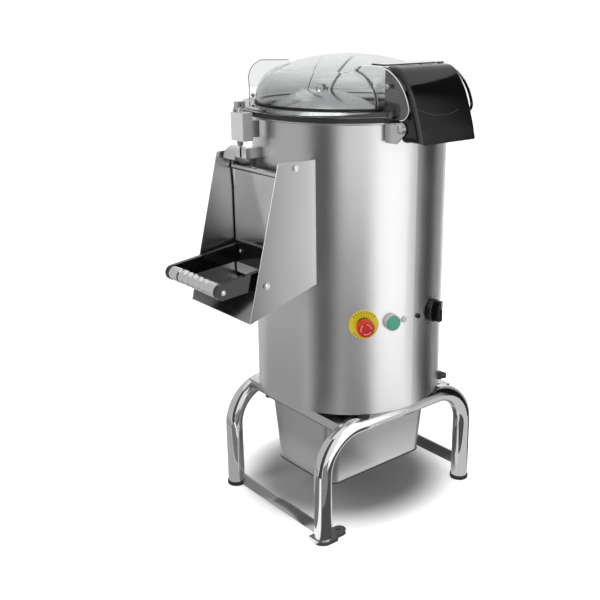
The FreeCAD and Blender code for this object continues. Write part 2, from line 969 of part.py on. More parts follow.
def chute_side(side):
    points = [
        (chute_top_y, chute_top_z),
        (chute_back_y, chute_top_z),
        (chute_back_y, chute_back_z),
        (chute_knee_y, chute_back_z),
        (chute_lip_y, chute_lip_z),
    ]
    x = sorted((side * chute_half, side * (chute_half - sheet)))
    plate = panel_x(points, x[0], x[1]).cut(drum_solid())
    return plate.cut(bar_x(hinge_pin_radius + running_gap, -outside, outside, door_pivot_y, door_pivot_z))


def floor_z(y):
    """Height of the chute floor's upper face."""
    slope = (chute_back_z - chute_lip_z) / (chute_knee_y - chute_lip_y)
    return chute_lip_z + slope * (y - chute_lip_y) + sheet


def chute_floor():
    back = chute_back_y
    points = [
        (chute_lip_y, floor_z(chute_lip_y)),
        (back, floor_z(back)),
        (back, floor_z(back) - sheet),
        (chute_lip_y, floor_z(chute_lip_y) - sheet),
    ]
    half = chute_half - sheet
    return panel_x(points, -half, half).cut(drum_solid())


def door_frame():
    """The collar between the drum's doorway and the flat door."""
    front = door_y + collar_gap
    half = door_way_half + collar_wall
    outer = block(-half, half, front, chute_back_y, door_way_low - collar_foot, door_way_high + collar_wall)
    first = front - past
    low = panel_x([(first, 0.0), (0.0, 0.0), (0.0, floor_z(0.0)), (first, floor_z(first))], -outside, outside)
    return outer.cut(door_way()).cut(drum_solid()).cut(low)


def door_seal():
    """A rubber strip on the collar, which the closed door faces."""
    half = door_way_half + door_seal_wall
    y0 = door_y + door_seal_gap
    outer = block(-half, half, y0, door_y + collar_gap, door_way_low, door_way_high + door_seal_wall)
    return outer.cut(door_way())


def chute_screws():
    heads = []
    for side in (1.0, -1.0):
        x = side * chute_half
        for y, z in ((door_pivot_y, door_pivot_z), (chute_screw_y, chute_screw_z)):
            x0 = min(x, x + side * chute_screw_height)
            heads.append(bar_x(chute_screw_radius, x0, x0 + chute_screw_height, y, z))
    return group(heads)


# Door


def door_panel():
    """The hanging door: a flat sheet with two ears that reach up to the pivots."""
    sheet_y = door_y - door_sheet
    top = door_pivot_z + ear_rise
    body = block(-door_half, door_half, sheet_y, door_y, door_low, door_bar_z)
    ear = [(sheet_y, door_bar_z - ear_drop), (door_y, door_bar_z - ear_drop)]
    ear += [(door_pivot_y + ear_half, door_pivot_z), (door_pivot_y + ear_top_half, top)]
    ear += [(door_pivot_y - ear_top_half, top), (door_pivot_y - ear_half, door_pivot_z)]
    inner = door_half - ear_thick
    for side in (1.0, -1.0):
        x = sorted((side * door_half, side * inner))
        body = body.fuse(panel_x(ear, x[0], x[1]))
        x = sorted((side * inner, side * (chute_half - pivot_gap)))
        body = body.fuse(bar_x(hinge_pin_radius, x[0], x[1], door_pivot_y, door_pivot_z))
    return body.removeSplitter().cut(door_bar())


def door_bar():
    return bar_x(door_bar_radius, -door_half, door_half, door_y - door_bar_offset, door_bar_z)


def door_cam():
    """A spiral on the left pivot. It lifts the plunger evenly as the door swings out."""
    reach = plunger_y - door_pivot_y
    tip = plunger_radius + cam_clear
    points = []
    for i in range(cam_points):
        swing = math.radians(cam_first + cam_step * i)
        rise = cam_radius + tip + plunger_lift_per_radian * swing
        length = math.hypot(reach, rise)
        angle = math.atan2(rise, reach) + swing
        radius = length - tip
        points.append(V(0, radius * math.cos(angle), radius * math.sin(angle)))
    spiral = Part.BSplineCurve()
    spiral.interpolate(points)
    foot = [V(0, -cam_foot_half, -cam_foot_drop), V(0, cam_foot_half, -cam_foot_drop)]
    edges = [spiral.toShape(), line(points[-1], foot[0]), line(foot[0], foot[1]), line(foot[1], points[0])]
    body = Part.Face(Part.Wire(edges)).extrude(V(cam_width, 0, 0))
    body.translate(V(ear_thick - door_half, door_pivot_y, door_pivot_z))
    return body.cut(bar_x(hinge_pin_radius, -outside, 0.0, door_pivot_y, door_pivot_z))


def door_lever():
    """The black frame on the door: a cross wall and two arms that hold the grip."""
    wall_y = door_y - door_sheet
    body = block(-lever_half, lever_half, wall_y - lever_wall, wall_y, lever_low, lever_high)
    arm = [(wall_y, lever_arm_high), (grip_y, grip_z + lever_boss)]
    arm += [(grip_y, grip_z - lever_boss), (wall_y, lever_arm_low)]
    for side in (1.0, -1.0):
        x = sorted((side * lever_half, side * (lever_half - lever_thick)))
        body = body.fuse(panel_x(arm, x[0], x[1]))
        body = body.fuse(bar_x(lever_boss, x[0], x[1], grip_y, grip_z))
    return body.removeSplitter()


def grip_tube():
    """The metal grip, with five rounded beads in its middle for the fingers."""
    half = lever_half - lever_thick
    start = -0.5 * grip_beads * bead_pitch
    groove = grip_radius - bead_depth
    edges = [
        line(V(0, 0, -half), V(grip_radius, 0, -half)),
        line(V(grip_radius, 0, -half), V(grip_radius, 0, start - bead_depth)),
        line(V(grip_radius, 0, start - bead_depth), V(groove, 0, start)),
    ]
    for i in range(grip_beads):
        low = start + bead_pitch * i
        middle = V(grip_radius, 0, low + 0.5 * bead_pitch)
        edges.append(arc(V(groove, 0, low), middle, V(groove, 0, low + bead_pitch)))
    edges.append(line(V(groove, 0, -start), V(grip_radius, 0, bead_depth - start)))
    edges.append(line(V(grip_radius, 0, bead_depth - start), V(grip_radius, 0, half)))
    edges.append(line(V(grip_radius, 0, half), V(0, 0, half)))
    edges.append(line(V(0, 0, half), V(0, 0, -half)))
    body = turned(edges)
    body.rotate(V(0, 0, 0), V(0, 1, 0), 90.0)
    body.translate(V(0, grip_y, grip_z))
    return body


def door_screws():
    """The two grip screws and the two studs that hold the lever to the door."""
    heads = []
    for side in (1.0, -1.0):
        x = side * lever_half
        x0 = min(x, x + side * grip_screw_height)
        heads.append(bar_x(grip_screw_radius, x0, x0 + grip_screw_height, grip_y, grip_z))
        face = door_y - door_sheet - lever_wall
        heads.append(bar_y(stud_radius, face - stud_height, face, side * stud_x, stud_z))
    return group(heads)


# Interlock


def interlock_box():
    """The switch box over the door's cam, with two ears for the roller lever on top."""
    body = block(lock_x0, lock_x1, lock_y0, lock_y1, lock_z0, lock_z1)
    upright = [e for e in body.Edges if e.Vertexes[0].Z != e.Vertexes[1].Z]
    body = body.makeFillet(lock_round, upright)
    w = lock_wall
    floor = lock_z0 + lock_floor
    body = body.cut(block(lock_x0 + w, lock_x1 - w, lock_y0 + w, lock_y1 - w, floor, lock_z1 - w))
    body = body.cut(post(plunger_radius + running_gap, lock_z0 - past, floor + past, plunger_x, plunger_y))
    r = lock_ear_radius
    for x in (lever_x0 - lock_ear_gap - lock_ear_thick, lever_x1 + lock_ear_gap):
        ear = block(x, x + lock_ear_thick, lever_y - r, lever_y + r, lock_z1, lever_pin_z)
        body = body.fuse(ear.fuse(bar_x(r, x, x + lock_ear_thick, lever_y, lever_pin_z)))
    body = body.removeSplitter()
    return body.cut(bar_x(lever_pin + running_gap, -outside, outside, lever_y, lever_pin_z))


def interlock_bracket():
    """The arm that holds the switch box on the drum, and the small stop block beside the cam."""
    low = lock_z0 + arm_lift
    arm = block(arm_x0, arm_x1, lock_y1, chute_back_y, low, low + arm_height)
    low = door_pivot_z + stop_lift
    stop = block(stop_x0, stop_x1, stop_front_y, chute_back_y, low, low + stop_height)
    return group([arm.cut(drum_solid()), stop.cut(drum_solid())])


def door_plunger():
    """A pin that slides up into the interlock box when the door is opened."""
    pin = post(plunger_radius, plunger_low, lock_z0 + plunger_depth, plunger_x, plunger_y)
    ball = Part.makeSphere(plunger_radius, V(plunger_x, plunger_y, plunger_low))
    return pin.fuse(ball).removeSplitter()


def lid_lever():
    """A sprung roller lever that feels the lid's edge. It turns on a pin in the box's ears."""
    top = lock_z1 + lever_height
    reach = lock_ear_thick + lock_ear_gap
    front = lever_y - lever_plate_front
    back = lever_y + lever_top_reach
    body = bar_x(lever_hub, lever_x0, lever_x1, lever_y, lever_pin_z)
    body = body.fuse(bar_x(lever_pin, lever_x0 - reach, lever_x1 + reach, lever_y, lever_pin_z))
    body = body.fuse(block(lever_x0, lever_x1, front, lever_y + lever_plate_back, lever_pin_z, top))
    body = body.fuse(block(lever_x0, lever_x1, front, back, top - lever_top_thick, top))
    for x in (lever_x0, lever_x1 - lever_cheek):
        low = top - lever_cheek_height
        body = body.fuse(block(x, x + lever_cheek, lever_y + lever_cheek_start, back, low, top))
    x0 = lever_x0 + lever_cheek
    x1 = lever_x1 - lever_cheek
    roller = bar_x(roller_radius, x0, x1, lever_y + roller_reach, top - roller_reach)
    return group([body.removeSplitter(), roller])


# Lid


def dome_body(grow):
    """The solid inside the clear dome's outer face, grown by a distance."""
    r = dome_radius + grow
    knuckle = dome_knuckle + grow
    crown = dome_crown + grow
    centre_r = dome_radius - dome_knuckle
    crown_z = dome_apex_z - dome_crown
    knuckle_z = crown_z + math.sqrt((dome_crown - dome_knuckle) ** 2 - centre_r ** 2)
    lean = math.atan2(knuckle_z - crown_z, centre_r)
    half = 0.5 * lean
    top = V(0, 0, crown_z + crown)
    meet = V(crown * math.cos(lean), 0, crown_z + crown * math.sin(lean))
    mid_lean = 0.5 * (lean + 0.5 * math.pi)
    mid_crown = V(crown * math.cos(mid_lean), 0, crown_z + crown * math.sin(mid_lean))
    mid_knuckle = V(centre_r + knuckle * math.cos(half), 0, knuckle_z + knuckle * math.sin(half))
    side = V(r, 0, knuckle_z)
    low = V(r, 0, flange_low)
    edges = [
        arc(top, mid_crown, meet),
        arc(meet, mid_knuckle, side),
        line(side, low),
        line(low, V(0, 0, flange_low)),
        line(V(0, 0, flange_low), top),
    ]
    return turned(edges)


def lid_dome():
    """The clear cover: flange and dome in one moulding."""
    flange = ring(flange_radius, dome_radius - lid_wall, flange_low, flange_top)
    shell = dome_body(0.0).cut(dome_body(-lid_wall))
    return shell.fuse(flange).removeSplitter()


def lid_seal():
    z0 = drum_top + seal_gap
    return ring(seal_radius, drum_radius - 2.0 * drum_wall, z0, z0 + seal_height)


def hinge_back():
    """The curve of the hinge cover's back, from the top front to the lower edge."""
    curve = Part.BSplineCurve()
    knots = [V(cover_top_x, 0, cover_top), V(cover_brow_x, 0, cover_brow_z)]
    knots += [V(cover_upper_x, 0, cover_upper_z), V(cover_middle_x, 0, cover_middle_z)]
    knots += [V(cover_lower_x, 0, cover_lower_z), V(cover_skirt_x, 0, cover_skirt_z)]
    knots.append(V(cover_low_x, 0, cover_low))
    curve.interpolate(Points=knots, InitialTangent=V(1, 0, 0), FinalTangent=V(0.3, 0, -1))
    return curve


def inner_back(curve):
    """The same curve, moved in by the cover's wall."""
    knots = []
    span = curve.LastParameter - curve.FirstParameter
    for i in range(cover_steps + 1):
        t = curve.FirstParameter + span * i / cover_steps
        along = curve.tangent(t)[0]
        knots.append(curve.value(t) + V(along.z, 0, -along.x) * cover_wall)
    moved = Part.BSplineCurve()
    moved.interpolate(Points=knots)
    return moved


def hinge_outline(curve, front, shelf, inner):
    """A closed outline from a back curve, the front's x, the shelf's z and the inner edge's x."""
    top = curve.StartPoint
    low = curve.EndPoint
    edges = [line(V(front, 0, top.z), top), curve.toShape(), line(low, V(inner, 0, low.z))]
    edges.append(line(V(inner, 0, low.z), V(inner, 0, shelf)))
    edges.append(line(V(inner, 0, shelf), V(front, 0, shelf)))
    edges.append(line(V(front, 0, shelf), V(front, 0, top.z)))
    return edges


def round_below(half, z0, radius):
    """A long body along X whose lower two edges are round."""
    body = block(0.0, outside, -half, half, z0, z0 + outside)
    low = [e for e in body.Edges if e.BoundBox.XLength > half and e.BoundBox.ZMax < z0 + past]
    return body.makeFillet(radius, low)


def hinge_cover():
    """The black cover that joins the lid to its pivots. It is open below and towards the dome."""
    curve = hinge_back()
    body = profile_y(hinge_outline(curve, cover_front_x, flange_low, cover_lip_x), -cover_half, cover_half)
    flat = [e for e in body.Edges if e.BoundBox.YLength < running_gap]
    tall = [e for e in flat if e.BoundBox.ZLength > hinge_z - cover_low]
    rim = [e for e in tall if e.BoundBox.XMax > hinge_x + cover_boss]
    body = body.makeFillet(cover_round, rim)
    body = body.common(round_below(cover_half, cover_low, cover_side_round))
    inner = cover_half - cover_wall
    lip = cover_lip_x + cover_wall
    edges = hinge_outline(inner_back(curve), cover_hollow_x, flange_low + cover_wall, lip)
    body = body.cut(profile_y(edges, -inner, inner))
    mouth = inner - cover_slot_inset
    body = body.cut(block(lip, cover_slot_x, -mouth, mouth, cover_low - past, cover_slot_top))
    for y0, y1 in ((-cover_half, -inner), (inner, cover_half)):
        body = body.fuse(bar_y(cover_boss, y0, y1, hinge_x, hinge_z))
    body = body.removeSplitter()
    low = flange_low - seal_height - cover_seal_gap
    body = body.cut(post(flange_radius + cover_gap, low, flange_top)).cut(dome_body(cover_gap))
    return body.cut(bar_y(hinge_pin_radius + running_gap, -outside, outside, hinge_x, hinge_z))


def cheek(side):
    """A clear side plate between the dome and the hinge cover."""
    y = sorted((side * (cover_half + cheek_gap), side * cheek_outer))
    start = V(cheek_front_x, 0, cheek_shoulder_z)
    a = V(cheek_shoulder_x, 0, cheek_top_z)
    b = V(cheek_top_x, 0, cheek_top_z)
    c = V(cheek_bend_x, 0, cheek_bend_z)
    d = V(cheek_back_x, 0, cheek_back_z)
    e = V(cheek_heel_x, 0, cheek_heel_z)
    f = V(cheek_foot_back_x, 0, cheek_foot_z)
    g = V(cheek_foot_x, 0, cheek_foot_z)
    h = V(cheek_foot_x, 0, flange_top)
    i = V(cheek_front_x, 0, flange_top)
    edges = [line(start, a), line(a, b), arc(b, c, d), arc(d, e, f), line(f, g), line(g, h), line(h, i)]
    edges.append(line(i, start))
    return profile_y(edges, y[0], y[1]).cut(dome_body(0.0))


def lid_bridge():
    """A clear strip across the top, between the two side plates."""
    strip = block(bridge_x0, bridge_x1, -cover_half, cover_half, bridge_z0, bridge_z0 + bridge_thick)
    return strip.cut(dome_body(0.0))


def lid_tab():
    """The clear lifting tab at the front left of the dome."""
    a = V(tab_back_x, 0, tab_top_z)
    b = V(tab_top_x, 0, tab_top_z)
    c = V(tab_bend_x, 0, tab_bend_z)
    d = V(tab_front_x, 0, tab_front_z)
    e = V(tab_front_x, 0, flange_top)
    f = V(tab_back_x, 0, flange_top)
    edges = [line(a, b), arc(b, c, d), line(d, e), line(e, f), line(f, a)]
    body = profile_y(edges, -tab_half, tab_half).cut(dome_body(0.0))
    body.rotate(V(0, 0, 0), V(0, 0, 1), tab_turn)
    return body


def lid_screws():
    """The screws of the two side plates and of the tab."""
    end = cheek_outer + lid_screw_height
    near = bar_y(lid_screw_radius, -end, -cheek_outer, lid_screw_x, lid_screw_z)
    far = bar_y(lid_screw_radius, cheek_outer, end, lid_screw_x, lid_screw_z)
    tab = bar_y(tab_screw_radius, tab_half, tab_half + tab_screw_height, tab_screw_x, tab_screw_z)
    tab.rotate(V(0, 0, 0), V(0, 0, 1), tab_turn)
    return group([near, far, tab])


def splash_dish():
    """A shallow steel dish under the dome."""
    shell = dish_sphere(0.0).cut(dish_sphere(sheet))
    shell = shell.common(post(outside, dish_rim_z, outside + dish_rim_z))
    middle = dish_apex_z + dish_hub_height
    hub = post(dish_hub_radius, dish_apex_z - past, middle, dish_x, dish_y)
    hub = hub.fuse(post(dish_knob_radius, middle, middle + dish_hub_height, dish_x, dish_y))
    return shell.fuse(hub).removeSplitter()


def dish_sphere(inset):
    """The ball that the dish's face lies on, made smaller by a distance."""
    return Part.makeSphere(dish_ball - inset, V(dish_x, dish_y, dish_apex_z - dish_ball))


def strap(low_x, bend_x, high_x, thick):
    """A curved strap in the upright plane across the view, from its three distances."""
    a = [V(low_x, 0, strap_low), V(bend_x, 0, strap_bend), V(high_x, 0, strap_high)]
    b = [point + V(thick, 0, 0) for point in a]
    edges = [arc(a[0], a[1], a[2]), line(a[2], b[2]), arc(b[2], b[1], b[0]), line(b[0], a[0])]
    body = profile_y(edges, -strap_half, strap_half).common(dome_body(-lid_wall))
    body.rotate(V(0, 0, 0), V(0, 0, 1), strap_turn)
    return body.cut(dish_sphere(0.0))


def dish_straps():
    near = strap(strap_low_x, strap_bend_x, strap_high_x, strap_thick)
    far = strap(far_strap_low_x, far_strap_bend_x, far_strap_high_x, far_strap_thick)
    return group([near, far])


# Lid hinge


def hinge_bracket(side):
    """A steel ear that carries the lid pivot, with a foot on the drum wall."""
    y0 = cover_half + bracket_side_gap
    y1 = y0 + bracket_thick
    back = bracket_x + bracket_thick
    outline = [(bracket_x, bracket_low), (bracket_knee_x, bracket_low)]
    outline += [(hinge_x + bracket_knee, hinge_z - bracket_knee), (hinge_x, hinge_z + bracket_nose)]
    outline += [(hinge_x - bracket_back, bracket_high), (bracket_x, bracket_high)]
    body = panel_y(outline, y0, y1).fuse(bar_y(bracket_nose, y0, y1, hinge_x, hinge_z))
    foot = block(bracket_x, back, bracket_foot_y, y1, bracket_low, bracket_foot_top)
    body = body.fuse(foot).removeSplitter().cut(drum_solid())
    body = body.cut(bar_y(hinge_pin_radius, -outside, outside, hinge_x, hinge_z))
    if side < 0:
        body = body.mirror(V(0, 0, 0), V(0, 1, 0))
    return body


def hinge_pin():
    reach = cover_half + pin_reach
    pin = bar_y(hinge_pin_radius, -reach, reach, hinge_x, hinge_z)
    for y in (-reach - pin_head_height, reach):
        pin = pin.fuse(bar_y(pin_head_radius, y, y + pin_head_height, hinge_x, hinge_z))
    return pin.removeSplitter()


# Tray


def tray_loft(inset, low, high):
    """The tapered body of the tray, moved in by a wall."""
    t = tray_taper
    loops = []
    for z, shrink in ((low, t), (high, 0.0)):
        s = shrink + inset
        loops.append(rounded_loop(tray_x0 + s, tray_x1 - s, tray_y0 + s, tray_y1 - s, tray_corner - inset, z))
    return Part.makeLoft(loops, True, True)


def peel_tray():
    low = tray_bottom
    outer = tray_loft(0.0, low, tray_top)
    inner = tray_loft(tray_wall, low + tray_wall, tray_top + past)
    rim_z = tray_top - tray_wall
    y0 = tray_y0 - tray_rim_reach
    y1 = tray_y1 + tray_rim_reach
    loop = rounded_loop(tray_x0 - tray_rim, tray_x1 + tray_rim, y0, y1, tray_rim_corner, rim_z)
    rim = Part.Face(loop).extrude(V(0, 0, tray_wall))
    return outer.fuse(rim).removeSplitter().cut(inner)


parts = {
    "frame_hoops": group([hoop(hoop_x), hoop(-hoop_x)]),
    "floor_bars": floor_bars(),
    "foot_caps": foot_caps(),
    "floor_fixing_plates": group([fixing_plate(1.0), fixing_plate(-1.0)]),
    "stand_rails": stand_rails(),
    "drum_pads": drum_pads(),
    "peel_tray": peel_tray(),
    "drum_front": drum_half(-1.0),
    "drum_rear": drum_half(1.0),
    "base_plate": base_plate(),
    "chamber_floor": chamber_floor(),
    "abrasive_liner": abrasive_liner(),
    "drain_spout": drain_spout(),
    "water_inlet": water_inlet(),
    "peeling_disc": peeling_disc(),
    "disc_nut": disc_nut(),
    "drive_shaft": drive_shaft(),
    "bearing_housing": bearing_housing(),
    "shaft_bearings": shaft_bearings(),
    "driven_pulley": pulley(driven_radius, shaft_radius, 0.0, 0.0),
    "motor_pulley": pulley(driver_radius, motor_shaft_radius, motor_x, motor_y),
    "drive_belt": drive_belt(),
    "motor_body": motor_body(),
    "motor_shaft": motor_shaft(),
    "motor_plate": motor_plate(),
    "stop_label": stop_label(),
    "stop_collar": stop_collar(),
    "stop_button": stop_button(),
    "start_bezel": start_bezel(),
    "start_button": start_button(),
    "indicator_lamp": small_fitting(lamp_radius, lamp_height, lamp_round, lamp_depth, lamp_angle),
    "fuse_holder": small_fitting(fuse_radius, fuse_height, fuse_round, fuse_depth, fuse_angle),
    "timer_body": timer_body(),
    "timer_knob": timer_knob(),
    "cable_gland": cable_gland(),
    "chute_sides": group([chute_side(1.0), chute_side(-1.0)]),
    "chute_floor": chute_floor(),
    "chute_screws": chute_screws(),
    "door_frame": door_frame(),
    "door_seal": door_seal(),
    "door_panel": door_panel(),
    "door_bar": door_bar(),
    "door_cam": door_cam(),
    "door_lever": door_lever(),
    "grip_tube": grip_tube(),
    "door_screws": door_screws(),
    "interlock_box": interlock_box(),
    "interlock_bracket": interlock_bracket(),
    "door_plunger": door_plunger(),
    "lid_lever": lid_lever(),
    "lid_dome": lid_dome(),
    "lid_seal": lid_seal(),
    "lid_cheeks": group([cheek(1.0), cheek(-1.0), lid_bridge()]),
    "lid_tab": lid_tab(),
    "lid_screws": lid_screws(),
    "splash_dish": splash_dish(),
    "dish_straps": dish_straps(),
    "hinge_cover": hinge_cover(),
    "hinge_brackets": group([hinge_bracket(1.0), hinge_bracket(-1.0)]),
    "hinge_pin": hinge_pin(),
}

os.makedirs("parts", exist_ok=True)
for name, shape in parts.items():
    shape.exportStep("parts/" + name + ".step")
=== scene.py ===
import json
import math
import bmesh
import bpy
from mathutils import Matrix, Vector


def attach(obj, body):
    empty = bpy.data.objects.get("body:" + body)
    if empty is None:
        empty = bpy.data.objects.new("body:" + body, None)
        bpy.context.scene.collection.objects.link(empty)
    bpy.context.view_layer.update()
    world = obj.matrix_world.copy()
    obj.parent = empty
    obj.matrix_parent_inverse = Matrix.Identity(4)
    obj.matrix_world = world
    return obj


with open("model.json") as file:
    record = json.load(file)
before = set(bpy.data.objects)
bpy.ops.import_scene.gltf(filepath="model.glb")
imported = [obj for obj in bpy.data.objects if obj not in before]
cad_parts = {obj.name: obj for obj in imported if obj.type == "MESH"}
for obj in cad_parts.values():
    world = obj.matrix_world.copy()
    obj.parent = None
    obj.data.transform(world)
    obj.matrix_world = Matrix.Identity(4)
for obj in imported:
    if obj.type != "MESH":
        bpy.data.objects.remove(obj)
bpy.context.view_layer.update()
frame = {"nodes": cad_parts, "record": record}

# Everything is in metres, in the machine's own frame: +Z is up and the chute faces -Y.

nodes = frame["nodes"]

# Sizes shared by several pieces. Angles on the drum run from the front towards +X.

drum_radius = 0.200
drum_low = 0.262
seam_height = 0.58
control_z = 0.455
stop_angle = 57.5
lamp_angle = 82.5
fuse_angle = 93.0
timer_angle = 107.0
tab_turn = -131.0
flange_top = 0.8684
dome_radius = 0.190
upright = Vector((0, 0, 1))
sideways = Vector((1, 0, 0))
lengthways = Vector((0, 1, 0))


# Materials


def scaled(tone, amount):
    """A tone made darker or lighter."""
    return [min(1.0, t * amount) for t in tone]


class Paint:
    """A material with its node tree, and short ways to add to it."""

    def __init__(self, name):
        self.material = bpy.data.materials.new(name)
        self.material.use_nodes = True
        self.tree = self.material.node_tree
        self.shader = self.tree.nodes["Principled BSDF"]
        self.coordinates = self.tree.nodes.new("ShaderNodeTexCoord").outputs["Object"]

    def set(self, **values):
        for key, value in values.items():
            self.shader.inputs[key.replace("_", " ").title().replace("Ior", "IOR")].default_value = value
        return self

    def stretch(self, x, y, z):
        node = self.tree.nodes.new("ShaderNodeMapping")
        node.inputs["Scale"].default_value = (x, y, z)
        self.link(self.coordinates, node.inputs["Vector"])
        return node.outputs["Vector"]

    def noise(self, vector, scale, detail=3.0, roughness=0.5):
        node = self.tree.nodes.new("ShaderNodeTexNoise")
        node.inputs["Scale"].default_value = scale
        node.inputs["Detail"].default_value = detail
        node.inputs["Roughness"].default_value = roughness
        self.link(vector, node.inputs["Vector"])
        return node.outputs["Fac"]

    def between(self, value, low, high):
        """The value, which runs from 0 to 1, spread from low to high."""
        node = self.tree.nodes.new("ShaderNodeMapRange")
        node.inputs["From Min"].default_value = 0.25
        node.inputs["From Max"].default_value = 0.75
        node.inputs["To Min"].default_value = low
        node.inputs["To Max"].default_value = high
        self.link(value, node.inputs["Value"])
        return node.outputs["Result"]

    def shades(self, value, dark, light):
        """A colour between two, chosen by the value."""
        node = self.tree.nodes.new("ShaderNodeMix")
        node.data_type = "RGBA"
        node.inputs["A"].default_value = (*dark, 1.0)
        node.inputs["B"].default_value = (*light, 1.0)
        self.link(value, node.inputs["Factor"])
        return node.outputs["Result"]

    def along(self, axis, start, end, low=0.0, high=1.0):
        """A value that runs from low to high as one coordinate runs from start to end."""
        parts = self.tree.nodes.new("ShaderNodeSeparateXYZ")
        self.link(self.coordinates, parts.inputs["Vector"])
        node = self.tree.nodes.new("ShaderNodeMapRange")
        node.inputs["From Min"].default_value = start
        node.inputs["From Max"].default_value = end
        node.inputs["To Min"].default_value = low
        node.inputs["To Max"].default_value = high
        self.link(parts.outputs[axis], node.inputs["Value"])
        return node.outputs["Result"]

    def blended(self, value, first, second):
        """One colour output or the other, chosen by the value."""
        node = self.tree.nodes.new("ShaderNodeMix")
        node.data_type = "RGBA"
        self.link(value, node.inputs["Factor"])
        self.link(first, node.inputs["A"])
        self.link(second, node.inputs["B"])
        return node.outputs["Result"]

    def bump(self, value, strength, distance=0.0002):
        node = self.tree.nodes.new("ShaderNodeBump")
        node.inputs["Strength"].default_value = strength
        node.inputs["Distance"].default_value = distance
        self.link(value, node.inputs["Height"])
        self.link(node.outputs["Normal"], self.shader.inputs["Normal"])

    def drive(self, socket, value):
        self.link(value, self.shader.inputs[socket])

    def link(self, a, b):
        self.tree.links.new(a, b)


def brushed(name, tone, grain, low, high, bump=0.1):
    """Brushed metal. The grain is the noise's scale along x, y and z: low along the brush marks."""
    paint = Paint(name).set(metallic=1.0)
    marks = paint.noise(paint.stretch(*grain), 1.0, 4.0, 0.7)
    cloud = paint.noise(paint.coordinates, 6.0, 2.0)
    paint.drive("Base Color", paint.shades(marks, scaled(tone, 0.86), scaled(tone, 1.12)))
    paint.drive("Roughness", paint.between(cloud, low, high))
    paint.bump(marks, bump)
    return paint.material


def smooth_metal(name, tone, low, high):
    paint = Paint(name).set(metallic=1.0)
    cloud = paint.noise(paint.coordinates, 25.0, 3.0)
    paint.drive("Base Color", paint.shades(cloud, scaled(tone, 0.95), tone))
    paint.drive("Roughness", paint.between(cloud, low, high))
    paint.bump(paint.noise(paint.coordinates, 180.0), 0.03)
    return paint.material


def moulded(name, tone, low, high, grain=900.0, bump=0.06):
    """Plastic or rubber with a fine moulded grain."""
    paint = Paint(name)
    cloud = paint.noise(paint.coordinates, 20.0, 3.0)
    paint.drive("Base Color", paint.shades(cloud, scaled(tone, 0.88), scaled(tone, 1.1)))
    paint.drive("Roughness", paint.between(cloud, low, high))
    paint.bump(paint.noise(paint.coordinates, grain), bump)
    return paint.material


def clear(name, tone, low, high):
    paint = Paint(name).set(transmission_weight=1.0, ior=1.45)
    cloud = paint.noise(paint.coordinates, 14.0, 2.0)
    paint.drive("Base Color", paint.shades(cloud, scaled(tone, 0.98), tone))
    paint.drive("Roughness", paint.between(cloud, low, high))
    return paint.material


def clear_dome(name):
    """The same clear plastic, painted darker towards the dome's foot as painted shade."""
    paint = Paint(name).set(transmission_weight=1.0, ior=1.45)
    cloud = paint.noise(paint.coordinates, 9.0, 2.0)
    # Painted shade: the dome's foot gets a darker colour than its top.
    low = paint.shades(cloud, (0.34, 0.35, 0.35), (0.50, 0.51, 0.51))
    high = paint.shades(cloud, (0.80, 0.81, 0.81), (0.87, 0.88, 0.88))
    paint.drive("Base Color", paint.blended(paint.along("Z", 0.870, 0.930), low, high))
    paint.drive("Roughness", paint.between(cloud, 0.0, 0.02))
    return paint.material


def chute_steel(name):
    """Brushed sheet. The plate on the controls side is painted darker as painted shade, most of all at its
    front.
    """
    paint = Paint(name).set(metallic=1.0)
    marks = paint.noise(paint.stretch(30.0, 30.0, 1800.0), 1.0, 4.0, 0.7)
    cloud = paint.noise(paint.coordinates, 6.0, 2.0)
    bright = paint.shades(marks, (0.60, 0.60, 0.60), (0.72, 0.72, 0.72))
    # Painted shade on the controls-side plate, darker towards its front.
    painted_shade_plate = paint.shades(paint.along("Y", -0.325, -0.16), (0.16, 0.16, 0.16), (0.48, 0.48, 0.48))
    paint.drive("Base Color", paint.blended(paint.along("X", -0.01, 0.01), bright, painted_shade_plate))
    paint.drive("Roughness", paint.between(cloud, 0.28, 0.36))
    paint.bump(marks, 0.1)
    return paint.material


def tray_steel(name):
    """Pressed sheet, painted lighter towards the tray's bottom as a painted reflection."""
    paint = Paint(name).set(metallic=1.0)
    cloud = paint.noise(paint.coordinates, 12.0, 3.0)
    # Painted reflection: the lower part of the tray gets a lighter colour than the upper part.
    upper = paint.shades(cloud, (0.46, 0.46, 0.47), (0.54, 0.54, 0.55))
    lower = paint.shades(cloud, (0.80, 0.80, 0.81), (0.90, 0.90, 0.91))
    paint.drive("Base Color", paint.blended(paint.along("Z", 0.17, 0.07), upper, lower))
    paint.drive("Roughness", paint.between(cloud, 0.28, 0.38))
    paint.bump(paint.noise(paint.coordinates, 160.0), 0.04)
    return paint.material


def gritty(name, tone):
    paint = Paint(name).set(roughness=0.9)
    grit = paint.noise(paint.coordinates, 700.0, 4.0, 0.7)
    paint.drive("Base Color", paint.shades(grit, scaled(tone, 0.4), scaled(tone, 1.6)))
    paint.bump(grit, 0.8, 0.0006)
    return paint.material


round_the_drum = (30.0, 30.0, 2500.0)
across_the_plate = (40.0, 900.0, 40.0)

